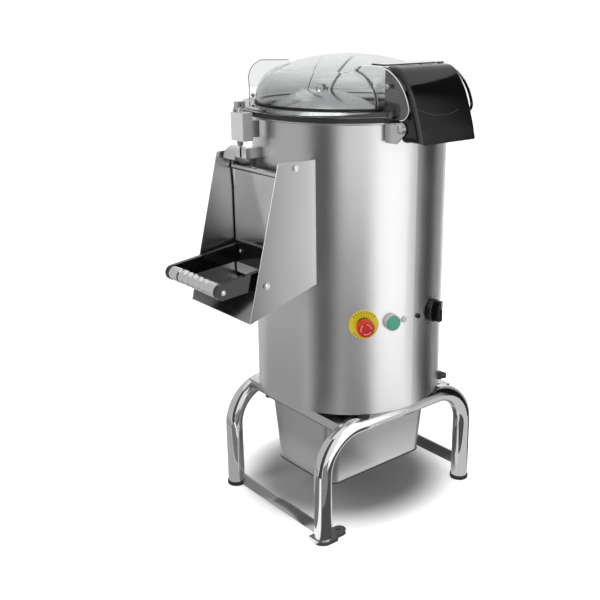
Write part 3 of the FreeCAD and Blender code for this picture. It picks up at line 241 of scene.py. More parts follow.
paints = {
    "satin_steel": brushed("satin_steel_paint", (0.62, 0.62, 0.62), round_the_drum, 0.26, 0.34, 0.35),
    "polished_steel": brushed("polished_steel_paint", (0.66, 0.66, 0.67), across_the_plate, 0.10, 0.16, 0.05),
    "polished_tube": smooth_metal("polished_tube_paint", (0.72, 0.72, 0.73), 0.05, 0.08),
    "screw_steel": smooth_metal("screw_steel_paint", (0.68, 0.68, 0.69), 0.16, 0.24),
    "black_rubber": moulded("black_rubber_paint", (0.016, 0.016, 0.017), 0.5, 0.65),
    "abrasive": gritty("abrasive_paint", (0.13, 0.12, 0.11)),
    "disc_grit": gritty("disc_grit_paint", (0.16, 0.15, 0.14)),
    "cast_iron": moulded("cast_iron_paint", (0.10, 0.10, 0.105), 0.45, 0.6, 400.0, 0.3),
    "motor_paint": moulded("motor_paint_paint", (0.09, 0.14, 0.2), 0.35, 0.45),
    "yellow_label": moulded("yellow_label_paint", (0.93, 0.74, 0.02), 0.3, 0.4),
    "red_plastic": moulded("red_plastic_paint", (0.62, 0.02, 0.012), 0.22, 0.32),
    "green_plastic": moulded("green_plastic_paint", (0.05, 0.42, 0.27), 0.25, 0.35),
    "black_plastic": moulded("black_plastic_paint", (0.006, 0.006, 0.0065), 0.06, 0.1, 900.0, 0.02),
    "lamp_lens": moulded("lamp_lens_paint", (0.72, 0.7, 0.68), 0.15, 0.25),
    "clear_plastic": clear("clear_plastic_paint", (0.88, 0.89, 0.89), 0.0, 0.02),
    "grip_metal": smooth_metal("grip_metal_paint", (0.74, 0.74, 0.75), 0.1, 0.16),
    "grey_plastic": moulded("grey_plastic_paint", (0.28, 0.28, 0.29), 0.3, 0.4),
    "light_grey_plastic": moulded("light_grey_plastic_paint", (0.56, 0.57, 0.58), 0.3, 0.4),
}
own_paints = {
    "lid_dome": clear_dome("dome_paint"),
    "chute_sides": chute_steel("chute_paint"),
    "peel_tray": tray_steel("tray_paint"),
    "floor_bars": smooth_metal("floor_bar_paint", (0.36, 0.36, 0.37), 0.2, 0.28),
    "splash_dish": smooth_metal("dish_paint", (0.80, 0.80, 0.81), 0.16, 0.24),
}
weld_steel = smooth_metal("weld_steel_paint", (0.4, 0.39, 0.38), 0.3, 0.45)
print_black = moulded("print_black_paint", (0.012, 0.012, 0.012), 0.4, 0.5)
print_white = moulded("print_white_paint", (0.82, 0.82, 0.8), 0.4, 0.5)
print_rose = moulded("print_rose_paint", (0.8, 0.35, 0.33), 0.3, 0.4)
polished_edge = moulded("polished_edge_paint", (0.86, 0.87, 0.88), 0.12, 0.2)
dark_edge = moulded("dark_edge_paint", (0.05, 0.05, 0.055), 0.2, 0.3)


def paint_frame():
    """Give every node of the frame the material of its slot."""
    for part in frame["record"]["subparts"]:
        thing = nodes[part["node"]]
        for place in thing.material_slots:
            place.material = own_paints.get(part["node"], paints[part["material_slot"]])


paint_frame()


# Mesh tools


def piece(name, points, faces, paint, body, smooth=True):
    """A finished piece of the object, from points and faces in the machine's own frame."""
    mesh = bpy.data.meshes.new(name)
    mesh.from_pydata([tuple(p) for p in points], [], faces)
    tidy = bmesh.new()
    tidy.from_mesh(mesh)
    bmesh.ops.recalc_face_normals(tidy, faces=tidy.faces)
    tidy.to_mesh(mesh)
    tidy.free()
    for face in mesh.polygons:
        face.use_smooth = smooth and len(face.vertices) == 4
    mesh.materials.append(paint)
    thing = bpy.data.objects.new(name, mesh)
    bpy.context.scene.collection.objects.link(thing)
    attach(thing, body)
    return thing


def tube(path, outline, up, closed=False):
    """Points and faces of a bar along a path. The outline is its section, as (across, up) pairs."""
    points = []
    faces = []
    count = len(path)
    size = len(outline)
    for i, place in enumerate(path):
        before = path[i - 1] if i or closed else path[0]
        after = path[(i + 1) % count] if i < count - 1 or closed else path[-1]
        along = (after - before).normalized()
        across = along.cross(up).normalized()
        over = across.cross(along)
        points += [place + across * a + over * b for a, b in outline]
    for i in range(count if closed else count - 1):
        j = (i + 1) % count
        for k in range(size):
            m = (k + 1) % size
            faces.append((i * size + k, i * size + m, j * size + m, j * size + k))
    if not closed:
        faces.append(tuple(range(size)))
        faces.append(tuple(range((count - 1) * size, count * size)))
    return points, faces


def round_section(radius, sides=8):
    turns = [2.0 * math.pi * i / sides for i in range(sides)]
    return [(radius * math.cos(a), radius * math.sin(a)) for a in turns]


def rectangle(x0, x1, y0, y1):
    return [(x0, y0), (x1, y0), (x1, y1), (x0, y1)]


def flat_section(width, height):
    return rectangle(-0.5 * width, 0.5 * width, 0.0, height)


def lathe(profile, steps=64):
    """Points and faces of a ring about Z, from a closed outline of (radius, height) pairs."""
    points = []
    faces = []
    size = len(profile)
    for i in range(steps):
        a = 2.0 * math.pi * i / steps
        points += [Vector((r * math.cos(a), r * math.sin(a), z)) for r, z in profile]
    for i in range(steps):
        j = (i + 1) % steps
        for k in range(size):
            m = (k + 1) % size
            faces.append((i * size + k, i * size + m, j * size + m, j * size + k))
    return points, faces


def prism(outline, low, high):
    """Points and faces of a flat plate, from its outline of (x, y) pairs."""
    size = len(outline)
    points = [Vector((x, y, low)) for x, y in outline] + [Vector((x, y, high)) for x, y in outline]
    faces = [tuple(range(size)), tuple(range(size, 2 * size))]
    faces += [(k, (k + 1) % size, size + (k + 1) % size, size + k) for k in range(size)]
    return points, faces


def joined(shapes):
    """Several (points, faces) shapes as one."""
    points = []
    faces = []
    for some_points, some_faces in shapes:
        start = len(points)
        points += some_points
        faces += [tuple(start + k for k in face) for face in some_faces]
    return points, faces


def moved(shape, matrix):
    points, faces = shape
    return [matrix @ p for p in points], faces


def on_drum(angle, height):
    """The matrix that takes a shape built along Z, from the drum's axis outwards, to the drum's wall."""
    a = math.radians(angle)
    across = Vector((math.cos(a), math.sin(a), 0.0))
    outward = Vector((math.sin(a), -math.cos(a), 0.0))
    rows = [(across[i], (0.0, 0.0, 1.0)[i], outward[i], (0.0, 0.0, height)[i]) for i in range(3)]
    return Matrix([*rows, (0.0, 0.0, 0.0, 1.0)])


# Repeated pieces


def repeat_group():
    """A node tree that sets one small item at every point of a mesh, turned as each point says."""
    tree = bpy.data.node_groups.new("repeat_at_points", "GeometryNodeTree")
    face = tree.interface
    face.new_socket("Geometry", in_out="INPUT", socket_type="NodeSocketGeometry")
    face.new_socket("Item", in_out="INPUT", socket_type="NodeSocketObject")
    face.new_socket("Finish", in_out="INPUT", socket_type="NodeSocketMaterial")
    face.new_socket("Size", in_out="INPUT", socket_type="NodeSocketFloat")
    face.new_socket("Loose Turn", in_out="INPUT", socket_type="NodeSocketFloat")
    face.new_socket("Seed", in_out="INPUT", socket_type="NodeSocketInt")
    face.new_socket("Geometry", in_out="OUTPUT", socket_type="NodeSocketGeometry")
    given = tree.nodes.new("NodeGroupInput").outputs
    turn = tree.nodes.new("GeometryNodeInputNamedAttribute")
    turn.data_type = "FLOAT_VECTOR"
    turn.inputs["Name"].default_value = "turn"
    aimed = tree.nodes.new("FunctionNodeEulerToRotation")
    chance = tree.nodes.new("FunctionNodeRandomValue")
    spin = tree.nodes.new("ShaderNodeCombineXYZ")
    spun = tree.nodes.new("FunctionNodeEulerToRotation")
    both = tree.nodes.new("FunctionNodeRotateRotation")
    both.rotation_space = "LOCAL"
    item = tree.nodes.new("GeometryNodeObjectInfo")
    put = tree.nodes.new("GeometryNodeInstanceOnPoints")
    real = tree.nodes.new("GeometryNodeRealizeInstances")
    finish = tree.nodes.new("GeometryNodeSetMaterial")
    out = tree.nodes.new("NodeGroupOutput")
    link = tree.links.new
    link(turn.outputs["Attribute"], aimed.inputs["Euler"])
    link(given["Loose Turn"], chance.inputs[3])
    link(given["Seed"], chance.inputs["Seed"])
    link(chance.outputs[1], spin.inputs["Z"])
    link(spin.outputs["Vector"], spun.inputs["Euler"])
    link(aimed.outputs["Rotation"], both.inputs["Rotation"])
    link(spun.outputs["Rotation"], both.inputs["Rotate By"])
    link(given["Item"], item.inputs["Object"])
    link(given["Geometry"], put.inputs["Points"])
    link(item.outputs["Geometry"], put.inputs["Instance"])
    link(both.outputs["Rotation"], put.inputs["Rotation"])
    link(given["Size"], put.inputs["Scale"])
    link(put.outputs["Instances"], real.inputs["Geometry"])
    link(real.outputs["Geometry"], finish.inputs["Geometry"])
    link(given["Finish"], finish.inputs["Material"])
    link(finish.outputs["Geometry"], out.inputs["Geometry"])
    return tree


repeat_tree = repeat_group()


def repeat(name, shape, places, paint, body, loose_turn=0.0, smooth=False):
    """One piece made of the same small shape at many places, each a matrix."""
    item_mesh = bpy.data.meshes.new(name + "_item")
    item_mesh.from_pydata([tuple(p) for p in shape[0]], [], shape[1])
    item = bpy.data.objects.new(name + "_item", item_mesh)
    base_mesh = bpy.data.meshes.new(name + "_points")
    base_mesh.from_pydata([tuple(m.to_translation()) for m in places], [], [])
    turns = base_mesh.attributes.new("turn", "FLOAT_VECTOR", "POINT")
    for i, m in enumerate(places):
        turns.data[i].vector = m.to_euler()
    base = bpy.data.objects.new(name + "_points", base_mesh)
    bpy.context.scene.collection.objects.link(item)
    bpy.context.scene.collection.objects.link(base)
    step = base.modifiers.new("repeat", "NODES")
    step.node_group = repeat_tree
    values = {"Item": item, "Finish": paint, "Size": 1.0, "Loose Turn": loose_turn, "Seed": 7}
    for socket in repeat_tree.interface.items_tree:
        if socket.in_out == "INPUT" and socket.name in values:
            step[socket.identifier] = values[socket.name]
    bpy.context.view_layer.update()
    graph = bpy.context.evaluated_depsgraph_get()
    plain = bpy.data.meshes.new_from_object(base.evaluated_get(graph))
    points = [v.co.copy() for v in plain.vertices]
    faces = [tuple(f.vertices) for f in plain.polygons]
    base.modifiers.remove(step)
    for thing in (item, base):
        bpy.data.objects.remove(thing)
    return piece(name, points, faces, paint, body, smooth)


def facing(place, direction):
    """The matrix of a place whose own Z looks in the direction."""
    turn = Vector(direction).to_track_quat("Z", "Y").to_matrix().to_4x4()
    return Matrix.Translation(Vector(place)) @ turn


def socket_head(radius, height, key):
    """A domed screw head with a six-sided hole, on a flat face at z = 0."""
    steps = 24
    floor = 0.0001
    rows = [[], [], [], [], []]
    for i in range(steps):
        a = 2.0 * math.pi * i / steps
        lean = (a + math.pi / 6.0) % (math.pi / 3.0) - math.pi / 6.0
        hole = key / math.cos(lean)
        c = math.cos(a)
        s = math.sin(a)
        levels = [(radius, 0.0), (radius * 0.86, 0.6 * height), (radius * 0.62, height)]
        levels += [(hole, height), (hole, floor)]
        for row, (r, z) in zip(rows, levels):
            row.append(Vector((r * c, r * s, z)))
    points = [p for row in rows for p in row]
    faces = [tuple(range(4 * steps, 5 * steps)), tuple(range(steps))]
    for n in range(4):
        for i in range(steps):
            j = (i + 1) % steps
            faces.append((n * steps + i, n * steps + j, (n + 1) * steps + j, (n + 1) * steps + i))
    return points, faces


def turned_place(x, z, angle, y):
    """A place on a plate that stands at an angle round the axis, and the way it faces."""
    turn = Matrix.Rotation(math.radians(angle), 4, "Z")
    return facing(turn @ Vector((x, y, z)), turn @ Vector((0.0, 1.0, 0.0)))


def add_heads(name, radius, height, key, places, body):
    """Screw heads of one kind, each turned by chance."""
    repeat(name, socket_head(radius, height, key), places, paints["screw_steel"], body, 1.0)


def add_lid_heads():
    x = 0.204
    y = 0.0875
    z = 0.914
    places = [facing((x, -y, z), (0, -1, 0)), facing((x, y, z), (0, 1, 0))]
    places.append(turned_place(0.1955, 0.880, tab_turn, 0.0045))
    add_heads("lid_screw_heads", 0.0036, 0.0012, 0.0015, places, "lid")


def add_door_heads():
    grip = [facing((side * 0.092, -0.380, 0.558), (side, 0, 0)) for side in (-1, 1)]
    add_heads("grip_screw_heads", 0.0038, 0.0012, 0.0017, grip, "chute_door")
    studs = [facing((side * 0.070, -0.2325, 0.578), (0, -1, 0)) for side in (-1, 1)]
    add_heads("lever_stud_heads", 0.0038, 0.0015, 0.0016, studs, "chute_door")


def add_machine_heads():
    top = (-0.219, 0.768)
    foot = (-0.292, 0.556)
    chute = [facing((side * 0.105, y, z), (side, 0, 0)) for side in (-1, 1) for y, z in (top, foot)]
    add_heads("chute_screw_heads", 0.0052, 0.0014, 0.0022, chute, "machine")
    pins = [facing((0.235, side * 0.084, 0.840), (0, side, 0)) for side in (-1, 1)]
    add_heads("hinge_pin_heads", 0.0075, 0.0016, 0.0028, pins, "machine")


add_lid_heads()
add_door_heads()
add_machine_heads()


# Lid details

knuckle = 0.062
crown = 0.430
dome_top = 0.9615
crown_z = dome_top - crown
knuckle_z = crown_z + math.sqrt((crown - knuckle) ** 2 - (dome_radius - knuckle) ** 2)


def dome_height(radius):
    """Height of the dome's outer face at a distance from the axis."""
    if radius < crown * (dome_radius - knuckle) / (crown - knuckle):
        return crown_z + math.sqrt(crown ** 2 - radius ** 2)
    return knuckle_z + math.sqrt(max(0.0, knuckle ** 2 - (radius - dome_radius + knuckle) ** 2))


def dome_line(y, x0, steps=24):
    """The line on the dome over one y, from x0 out to the flange."""
    end = math.sqrt(dome_radius ** 2 - y ** 2)
    path = []
    for i in range(steps + 1):
        x = x0 + (end - x0) * math.sin(0.5 * math.pi * i / steps)
        path.append(Vector((x, y, dome_height(math.hypot(x, y)))))
    path.append(Vector((end, y, flange_top + 0.001)))
    return path


def add_lid_details():
    """The black ring at the dome's foot, and the dark joints under the two side plates."""
    ring = rectangle(0.1902, 0.1925, flange_top, 0.8714)
    piece("dome_foot_ring", *lathe(ring, 128), paints["black_rubber"], "lid")
    leaning = Vector((0.6, 0.0, 0.8))
    for name, side in (("near", -1.0), ("far", 1.0)):
        path = dome_line(side * 0.0807, 0.112)
        shape = tube(path, flat_section(0.0082, 0.0008), leaning)
        piece("cheek_joint_" + name, *shape, dark_edge, "lid", False)


def arc_points(a, b, c, steps=10):
    """Points along the circle through three points of one plane, as (x, z) pairs."""
    ax, az = a
    bx, bz = b
    cx, cz = c
    d = 2.0 * (ax * (bz - cz) + bx * (cz - az) + cx * (az - bz))
    aa = ax * ax + az * az
    bb = bx * bx + bz * bz
    cc = cx * cx + cz * cz
    ux = (aa * (bz - cz) + bb * (cz - az) + cc * (az - bz)) / d
    uz = (aa * (cx - bx) + bb * (ax - cx) + cc * (bx - ax)) / d
    radius = math.hypot(ax - ux, az - uz)
    first = math.atan2(az - uz, ax - ux)
    last = math.atan2(cz - uz, cx - ux)
    if last > first:
        last -= 2.0 * math.pi
    turns = [first + (last - first) * i / steps for i in range(steps + 1)]
    return [(ux + radius * math.cos(t), uz + radius * math.sin(t)) for t in turns]


def cheek_outline():
    outline = [(0.112, 0.939), (0.129, 0.947), (0.150, 0.947), (0.170, 0.947)]
    outline += arc_points((0.186, 0.947), (0.236, 0.919), (0.2585, 0.877))
    outline += arc_points((0.2585, 0.877), (0.253, 0.863), (0.236, 0.856), 6)[1:]
    return outline


def add_cheek_rims():
    """The bright polished edges of the clear side plates."""
    for name, side in (("near", -1.0), ("far", 1.0)):
        path = [Vector((x, side * 0.0848, z)) for x, z in cheek_outline()]
        shape = tube(path, round_section(0.0007), lengthways)
        piece("cheek_rim_" + name, *shape, polished_edge, "lid")


def add_tab_edge():
    """The dark polished edge of the lifting tab."""
    outline = [(0.122, 0.949), (0.150, 0.949)]
    outline += arc_points((0.176, 0.949), (0.194, 0.938), (0.203, 0.905))
    outline += [(0.203, 0.890), (0.203, 0.870)]
    turn = Matrix.Rotation(math.radians(tab_turn), 4, "Z")
    path = [turn @ Vector((x, 0.0, z)) for x, z in outline]
    shape = tube(path, rectangle(-0.0027, 0.0027, -0.0006, 0.0006), turn @ Vector((0.3, 0.0, 1.0)))
    piece("tab_edge", *shape, dark_edge, "lid", False)


def hood_x(z):
    """The hinge cover's outer face: its x at a height, by straight steps."""
    knots = [(0.8145, 0.280), (0.838, 0.274), (0.857, 0.268)]
    knots += [(0.881, 0.2595), (0.909, 0.247), (0.933, 0.229)]
    for (z0, x0), (z1, x1) in zip(knots, knots[1:]):
        if z <= z1:
            return x0 + (x1 - x0) * (z - z0) / (z1 - z0)
    return knots[-1][1]


def add_hood_groove():
    """The shallow curved line moulded in the hinge cover's face."""
    path = []
    steps = 24
    for i in range(steps + 1):
        y = -0.0715 + 0.1125 * i / steps
        z = 0.8630 + 0.0000060 * ((y + 0.004) * 1000.0) ** 2 * 0.6
        path.append(Vector((hood_x(z) + 0.0001, y, z)))
    piece("hood_line", *tube(path, round_section(0.0006, 6), sideways), dark_edge, "lid")


def add_bridge_edge():
    """The dark front edge of the clear strip between the side plates."""
    path = [Vector((0.150, y, 0.9498)) for y in (-0.075, 0.0, 0.075)]
    shape = tube(path, rectangle(-0.0006, 0.0006, -0.0015, 0.0015), upright)
    piece("bridge_edge", *shape, dark_edge, "lid", False)


add_lid_details()
add_cheek_rims()
add_tab_edge()
add_hood_groove()
add_bridge_edge()


# Chute edges


def add_chute_edges():
    """Painted highlights: bright lines along the cut edges of the two side plates."""
    for name, side in (("right", 1.0), ("left", -1.0)):
        x = side * 0.10125
        path = [Vector((x, -0.3311, 0.4885)), Vector((x, -0.2581, 0.779)), Vector((x, -0.206, 0.7792))]
        shape = tube(path, round_section(0.0008, 8), sideways)
        # Painted highlight along each plate's front edge.
        piece("chute_edge_" + name, *shape, polished_edge, "machine")


add_chute_edges()


# Tray edge


def rounded_path(x0, x1, y0, y1, radius, z, steps=8):
    """Points round a rectangle with rounded corners."""
    corners = ((x1 - radius, y1 - radius, 0.0), (x0 + radius, y1 - radius, 90.0))
    corners += ((x0 + radius, y0 + radius, 180.0), (x1 - radius, y0 + radius, 270.0))
    path = []
    for x, y, first in corners:
        for i in range(steps + 1):
            a = math.radians(first + 90.0 * i / steps)
            path.append(Vector((x + radius * math.cos(a), y + radius * math.sin(a), z)))
    return path


def add_tray_edge():
    """Painted shade: a dark line round the tray's bottom, along its pressed edge."""
    path = rounded_path(-0.0745, 0.1145, -0.1495, 0.1205, 0.024, 0.0868)
    piece("tray_foot_line", *tube(path, round_section(0.0015), upright, True), dark_edge, "tray")


add_tray_edge()


# Control markings


def ring_arrow(radius, width, start, end, low, high):
    """A curved arrow in a plane square to Z. It runs from one angle to another, in degrees."""
    steps = 10
    way = 1.0 if end > start else -1.0
    inner = []
    outer = []
    for i in range(steps + 1):
        a = math.radians(start + (end - start) * i / steps)
        inner.append(((radius - 0.5 * width) * math.cos(a), (radius - 0.5 * width) * math.sin(a)))
        outer.append(((radius + 0.5 * width) * math.cos(a), (radius + 0.5 * width) * math.sin(a)))
    last = math.radians(end)
    tip = math.radians(end + way * math.degrees(1.8 * width / radius))
    head = [((radius + 1.2 * width) * math.cos(last), (radius + 1.2 * width) * math.sin(last))]
    head.append((radius * math.cos(tip), radius * math.sin(tip)))
    head.append(((radius - 1.2 * width) * math.cos(last), (radius - 1.2 * width) * math.sin(last)))
    return prism(outer + head + inner[::-1], low, high)


def add_stop_markings():
    """Plain tick marks round the yellow plate, and three arrows on the red cap."""
    place = on_drum(stop_angle, control_z)
    tick = prism(rectangle(-0.0006, 0.0006, -0.0026, 0.0026), 0.0, 0.00015)
    ticks_radius = 0.0262
    plate_face = 0.2020
    count = 9
    places = []
    for start in (40.0, 220.0):
        for i in range(count):
            a = math.radians(start + 100.0 * i / (count - 1))
            spot = Vector((ticks_radius * math.cos(a), ticks_radius * math.sin(a), plate_face))
            places.append(place @ Matrix.Translation(spot) @ Matrix.Rotation(a - 0.5 * math.pi, 4, "Z"))
    repeat("stop_ticks", tick, places, print_black, "machine")
    turns = (0.0, 120.0, 240.0)
    arrows = [ring_arrow(0.0104, 0.0019, 90.0 - turn, 20.0 - turn, 0.2299, 0.23015) for turn in turns]
    piece("stop_arrows", *moved(joined(arrows), place), print_rose, "stop", False)


def add_timer_markings():
    """A pointer line on the knob, and dots on the drum round it."""
    place = on_drum(timer_angle, control_z)
    pointer = prism(rectangle(-0.0011, 0.0011, 0.004, 0.0205), 0.2239, 0.22415)
    piece("timer_pointer", *moved(pointer, place), print_white, "timer", False)
    dot = lathe([(0.0, 0.0), (0.0013, 0.0), (0.0013, 0.0002), (0.0, 0.0002)], 16)
    dots_radius = 0.0285
    count = 11
    places = []
    for i in range(count):
        a = math.radians(90.0 - 30.0 * i)
        x = dots_radius * math.cos(a)
        away = math.sqrt(drum_radius ** 2 - x ** 2)
        spot = Vector((x, dots_radius * math.sin(a), away + 0.0001))
        lean = Matrix.Rotation(math.asin(x / drum_radius), 4, "Y")
        places.append(place @ Matrix.Translation(spot) @ lean)
    repeat("timer_dots", dot, places, print_black, "machine")


def add_lamp_rim():
    rim = [(0.0040, 0.2028), (0.0058, 0.2010), (0.0064, 0.2014), (0.0050, 0.2034)]
    piece("lamp_rim", *moved(lathe(rim, 32), on_drum(lamp_angle, control_z)), print_white, "machine")


def add_fuse_slot():
    """The coin slot across the fuse cap, as a dark inlay."""
    slot = prism(rectangle(-0.0042, 0.0042, -0.0006, 0.0006), 0.2049, 0.20515)
    piece("fuse_slot", *moved(slot, on_drum(fuse_angle, control_z)), print_black, "machine", False)


add_stop_markings()
add_timer_markings()
add_lamp_rim()
add_fuse_slot()


# Welds


def weld_ring(name, centre, axis, radius, thick, body, steps=48):
    """A weld bead round a joint, with the small ripples of a hand weld."""
    turn = Vector(axis).to_track_quat("Z", "Y").to_matrix()
    path = []
    for i in range(steps):
        a = 2.0 * math.pi * i / steps
        ripple = radius + 0.0002 * math.sin(a * 23.0)
        path.append(Vector(centre) + turn @ Vector((ripple * math.cos(a), ripple * math.sin(a), 0.0)))
    up = turn @ Vector((0.0, 0.0, 1.0))
    return piece(name, *tube(path, round_section(thick, 6), up, True), weld_steel, body)


def add_welds():
    """The beads round the two feet that stand on plates, and the drum's upright seam."""
    for i, side in enumerate((1.0, -1.0)):
        centre = (side * 0.1585, -side * 0.206, 0.0102)
        weld_ring("foot_weld_" + str(i), centre, (0, 0, 1), 0.0192, 0.0009, "machine")
    out = Vector((-1.0, 0.0, 0.0))
    steps = 60
    path = [out * drum_radius + Vector((0, 0, drum_low + seam_height * n / steps)) for n in range(steps + 1)]
    piece("drum_seam", *tube(path, flat_section(0.0016, 0.0003), out), weld_steel, "machine", False)


add_welds()


# Studio

turn_to_camera = -40.6
white = (1.0, 1.0, 1.0, 1.0)
card_distance = 1.25
card_height = 1.9
ground_inner = 0.62
near_inner = 0.225


def soft_glow(name, level):
    """Light for a card that fades out at the card's ends."""
    material = bpy.data.materials.new(name)
    material.use_nodes = True
    tree = material.node_tree
    tree.nodes.clear()
    out = tree.nodes.new("ShaderNodeOutputMaterial")
    fade = tree.nodes.new("ShaderNodeAttribute")
    fade.attribute_name = "fade"
    hole = tree.nodes.new("ShaderNodeBsdfTransparent")
    glow = tree.nodes.new("ShaderNodeEmission")
    glow.inputs["Color"].default_value = white
    glow.inputs["Strength"].default_value = level
    mix = tree.nodes.new("ShaderNodeMixShader")
    tree.links.new(fade.outputs["Fac"], mix.inputs["Fac"])
    tree.links.new(hole.outputs["BSDF"], mix.inputs[1])
    tree.links.new(glow.outputs["Emission"], mix.inputs[2])
    tree.links.new(mix.outputs["Shader"], out.inputs["Surface"])
    return material


def stage_mesh(name, points, faces, material, fades=None):
    mesh = bpy.data.meshes.new(name)
    mesh.from_pydata(points, [], faces)
    mesh.materials.append(material)
    if fades:
        mesh.attributes.new("fade", "FLOAT", "POINT").data.foreach_set("value", fades)
    thing = bpy.data.objects.new(name, mesh)
    bpy.context.scene.collection.objects.link(thing)
    return thing


def only_reflected(thing):
    """A studio card that metal reflects and that nothing else shows."""
    thing.visible_camera = False
    thing.visible_diffuse = False
    thing.visible_transmission = False
    thing.visible_shadow = False
    thing.visible_volume_scatter = False


def fade_at(angle, start, end, soft):
    """How much of the card is left at an angle: nothing at its ends, all of it inside."""
    if end - start >= 360.0:
        return 1.0
    return max(0.0, min(1.0, (angle - start + 0.5 * soft) / soft, (end + 0.5 * soft - angle) / soft))


def card(name, start, end, level, near, far, soft=7.0):
    """A curved card round the machine between two angles, as seen from the camera's side.

    Near and far are the (distance, height) of its lower and upper edges.
    """
    points = []
    faces = []
    fades = []
    first = start - 0.5 * soft
    last = end + 0.5 * soft
    steps = max(8, int((last - first) / 3.0))
    for i in range(steps + 1):
        angle = first + (last - first) * i / steps
        a = math.radians(turn_to_camera + angle)
        for distance, height in (near, far):
            points.append((distance * math.cos(a), distance * math.sin(a), height))
            fades.append(fade_at(angle, start, end, soft))
    for i in range(steps):
        faces.append((2 * i, 2 * i + 1, 2 * i + 3, 2 * i + 2))
    only_reflected(stage_mesh(name, points, faces, soft_glow(name, level), fades))


def corner_card(name, start, end, level, ground_level):
    """An upright card and the floor in front of it."""
    card(name, start, end, level, (card_distance, 0.0), (card_distance, card_height))
    card(name + "_ground", start, end, ground_level, (ground_inner, 0.002), (card_distance, 0.002))


def seen_directly(tree, kinds):
    """1 for the kinds of rays that show the white background, and 0 for light that falls on things."""
    path = tree.nodes.new("ShaderNodeLightPath")
    total = path.outputs[kinds[0]]
    for kind in kinds[1:]:
        larger = tree.nodes.new("ShaderNodeMath")
        larger.operation = "MAXIMUM"
        tree.links.new(total, larger.inputs[0])
        tree.links.new(path.outputs[kind], larger.inputs[1])
        total = larger.outputs["Value"]
    return total


def floor_material():
    """White, with the object's own soft shadow and a painted shadow under the machine, where the floor's
    colour darkens towards the centre. The glow grows outwards, where there is no shadow.
    """
    material = bpy.data.materials.new("floor_white")
    material.use_nodes = True
    tree = material.node_tree
    tree.nodes.clear()
    out = tree.nodes.new("ShaderNodeOutputMaterial")
    matt = tree.nodes.new("ShaderNodeBsdfDiffuse")
    glow = tree.nodes.new("ShaderNodeEmission")
    both = tree.nodes.new("ShaderNodeAddShader")
    place = tree.nodes.new("ShaderNodeTexCoord")
    length = tree.nodes.new("ShaderNodeVectorMath")
    length.operation = "DISTANCE"
    length.inputs[1].default_value = (-0.04, 0.02, 0.0)
    grow = tree.nodes.new("ShaderNodeMapRange")
    grow.interpolation_type = "SMOOTHSTEP"
    grow.inputs["From Min"].default_value = 0.16
    grow.inputs["From Max"].default_value = 0.30
    grow.inputs["To Max"].default_value = 0.8
    # Painted shadow: the floor's colour runs from 0.38 under the machine to 0.85 outside it.
    tone = tree.nodes.new("ShaderNodeMapRange")
    tone.inputs["To Min"].default_value = 0.38
    tone.inputs["To Max"].default_value = 0.85
    level = tree.nodes.new("ShaderNodeMath")
    level.operation = "MULTIPLY"
    seen = seen_directly(tree, ["Is Camera Ray", "Is Glossy Ray", "Is Transmission Ray"])
    tree.links.new(place.outputs["Object"], length.inputs[0])
    tree.links.new(length.outputs["Value"], grow.inputs["Value"])
    tree.links.new(grow.outputs["Result"], tone.inputs["Value"])
    tree.links.new(tone.outputs["Result"], matt.inputs["Color"])
    tree.links.new(seen, level.inputs[0])
    tree.links.new(grow.outputs["Result"], level.inputs[1])
    tree.links.new(level.outputs["Value"], glow.inputs["Strength"])
    tree.links.new(matt.outputs["BSDF"], both.inputs[0])
    tree.links.new(glow.outputs["Emission"], both.inputs[1])
    tree.links.new(both.outputs["Shader"], out.inputs["Surface"])
    return material


def white_world():
    world = bpy.data.worlds.new("studio")
    bpy.context.scene.world = world
    world.use_nodes = True
    tree = world.node_tree
    tree.nodes.clear()
    out = tree.nodes.new("ShaderNodeOutputWorld")
    shown = tree.nodes.new("ShaderNodeBackground")
    shown.inputs["Strength"].default_value = 1.0
    shown.inputs["Color"].default_value = white
    soft = tree.nodes.new("ShaderNodeBackground")
    soft.inputs["Strength"].default_value = 0.5
    soft.inputs["Color"].default_value = white
    mix = tree.nodes.new("ShaderNodeMixShader")
    seen = seen_directly(tree, ["Is Camera Ray", "Is Glossy Ray", "Is Transmission Ray"])
    tree.links.new(seen, mix.inputs["Fac"])
    tree.links.new(soft.outputs["Background"], mix.inputs[1])
    tree.links.new(shown.outputs["Background"], mix.inputs[2])
    tree.links.new(mix.outputs["Shader"], out.inputs["Surface"])


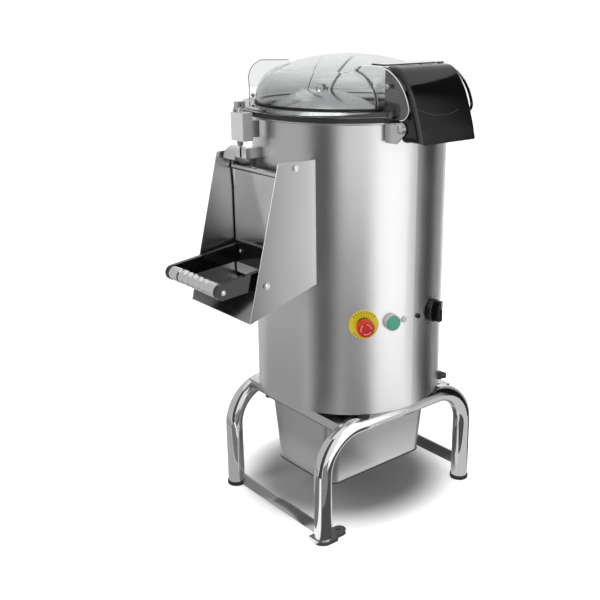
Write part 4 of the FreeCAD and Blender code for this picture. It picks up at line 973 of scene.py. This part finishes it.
def area_light(name, place, target, size, power):
    """A soft lamp that lights things and shows in no reflection."""
    data = bpy.data.lights.new(name, "AREA")
    data.shape = "RECTANGLE"
    data.size = size[0]
    data.size_y = size[1]
    data.energy = power
    lamp = bpy.data.objects.new(name, data)
    lamp.location = place
    lamp.rotation_euler = (Vector(target) - Vector(place)).to_track_quat("-Z", "Y").to_euler()
    lamp.visible_glossy = False
    bpy.context.scene.collection.objects.link(lamp)


def add_camera():
    data = bpy.data.cameras.new("camera")
    data.lens = 53.4
    data.sensor_width = 36.0
    data.shift_x = -0.072
    camera = bpy.data.objects.new("camera", data)
    camera.location = (1.3963, -1.2130, 1.0494)
    camera.rotation_euler = (math.radians(90.0 - 18.213), 0.0, math.radians(49.398))
    bpy.context.scene.collection.objects.link(camera)
    bpy.context.scene.camera = camera


def add_studio():
    """The floor, the white world, the cards that the steel reflects, the lamps and the camera."""
    reach = 9.0
    corners = [(-reach, -reach, 0), (reach, -reach, 0), (reach, reach, 0), (-reach, reach, 0)]
    stage_mesh("ground", corners, [(0, 1, 2, 3)], floor_material())
    white_world()
    corner_card("bright_card", 27.0, 73.0, 1.65, 1.4)
    corner_card("shoulder_card", 73.0, 81.0, 0.5, 0.5)
    corner_card("dark_card_left", -44.0, -12.0, 0.07, 0.07)
    corner_card("dark_card_right", 81.0, 117.0, 0.01, 0.02)
    corner_card("middle_card_right", 117.0, 140.0, 0.4, 0.35)
    corner_card("grey_card_left", -125.0, -46.0, 0.6, 0.42)
    corner_card("grey_card_back", -150.0, -125.0, 0.75, 0.6)
    card("middle_ground", -12.0, 27.0, 0.3, (0.42, 0.002), (3.0, 0.002))
    near_levels = ((-180, -60, 0.5), (-60, -26, 0.22), (-26, -16, 1.3), (-16, 60, 0.1), (60, 96, 0.7))
    near_levels += ((96, 118, 0.1), (118, 128, 1.2), (128, 180, 0.2))
    for i, (start, end, level) in enumerate(near_levels):
        card("near_ground_" + str(i), start, end, level, (near_inner, 0.001), (ground_inner, 0.001), 3.0)
    card("inner_ground", 12.0, 80.0, 0.8, (0.13, 0.001), (0.2, 0.001), 3.0)
    target = (0.0, 0.0, 0.55)
    area_light("key_light", (-0.4, -2.6, 2.2), target, (1.2, 2.0), 40.0)
    area_light("top_light", (0.3, -0.2, 3.2), target, (2.0, 2.0), 35.0)
    add_camera()


add_studio()
bpy.context.scene.view_settings.view_transform = "Standard"
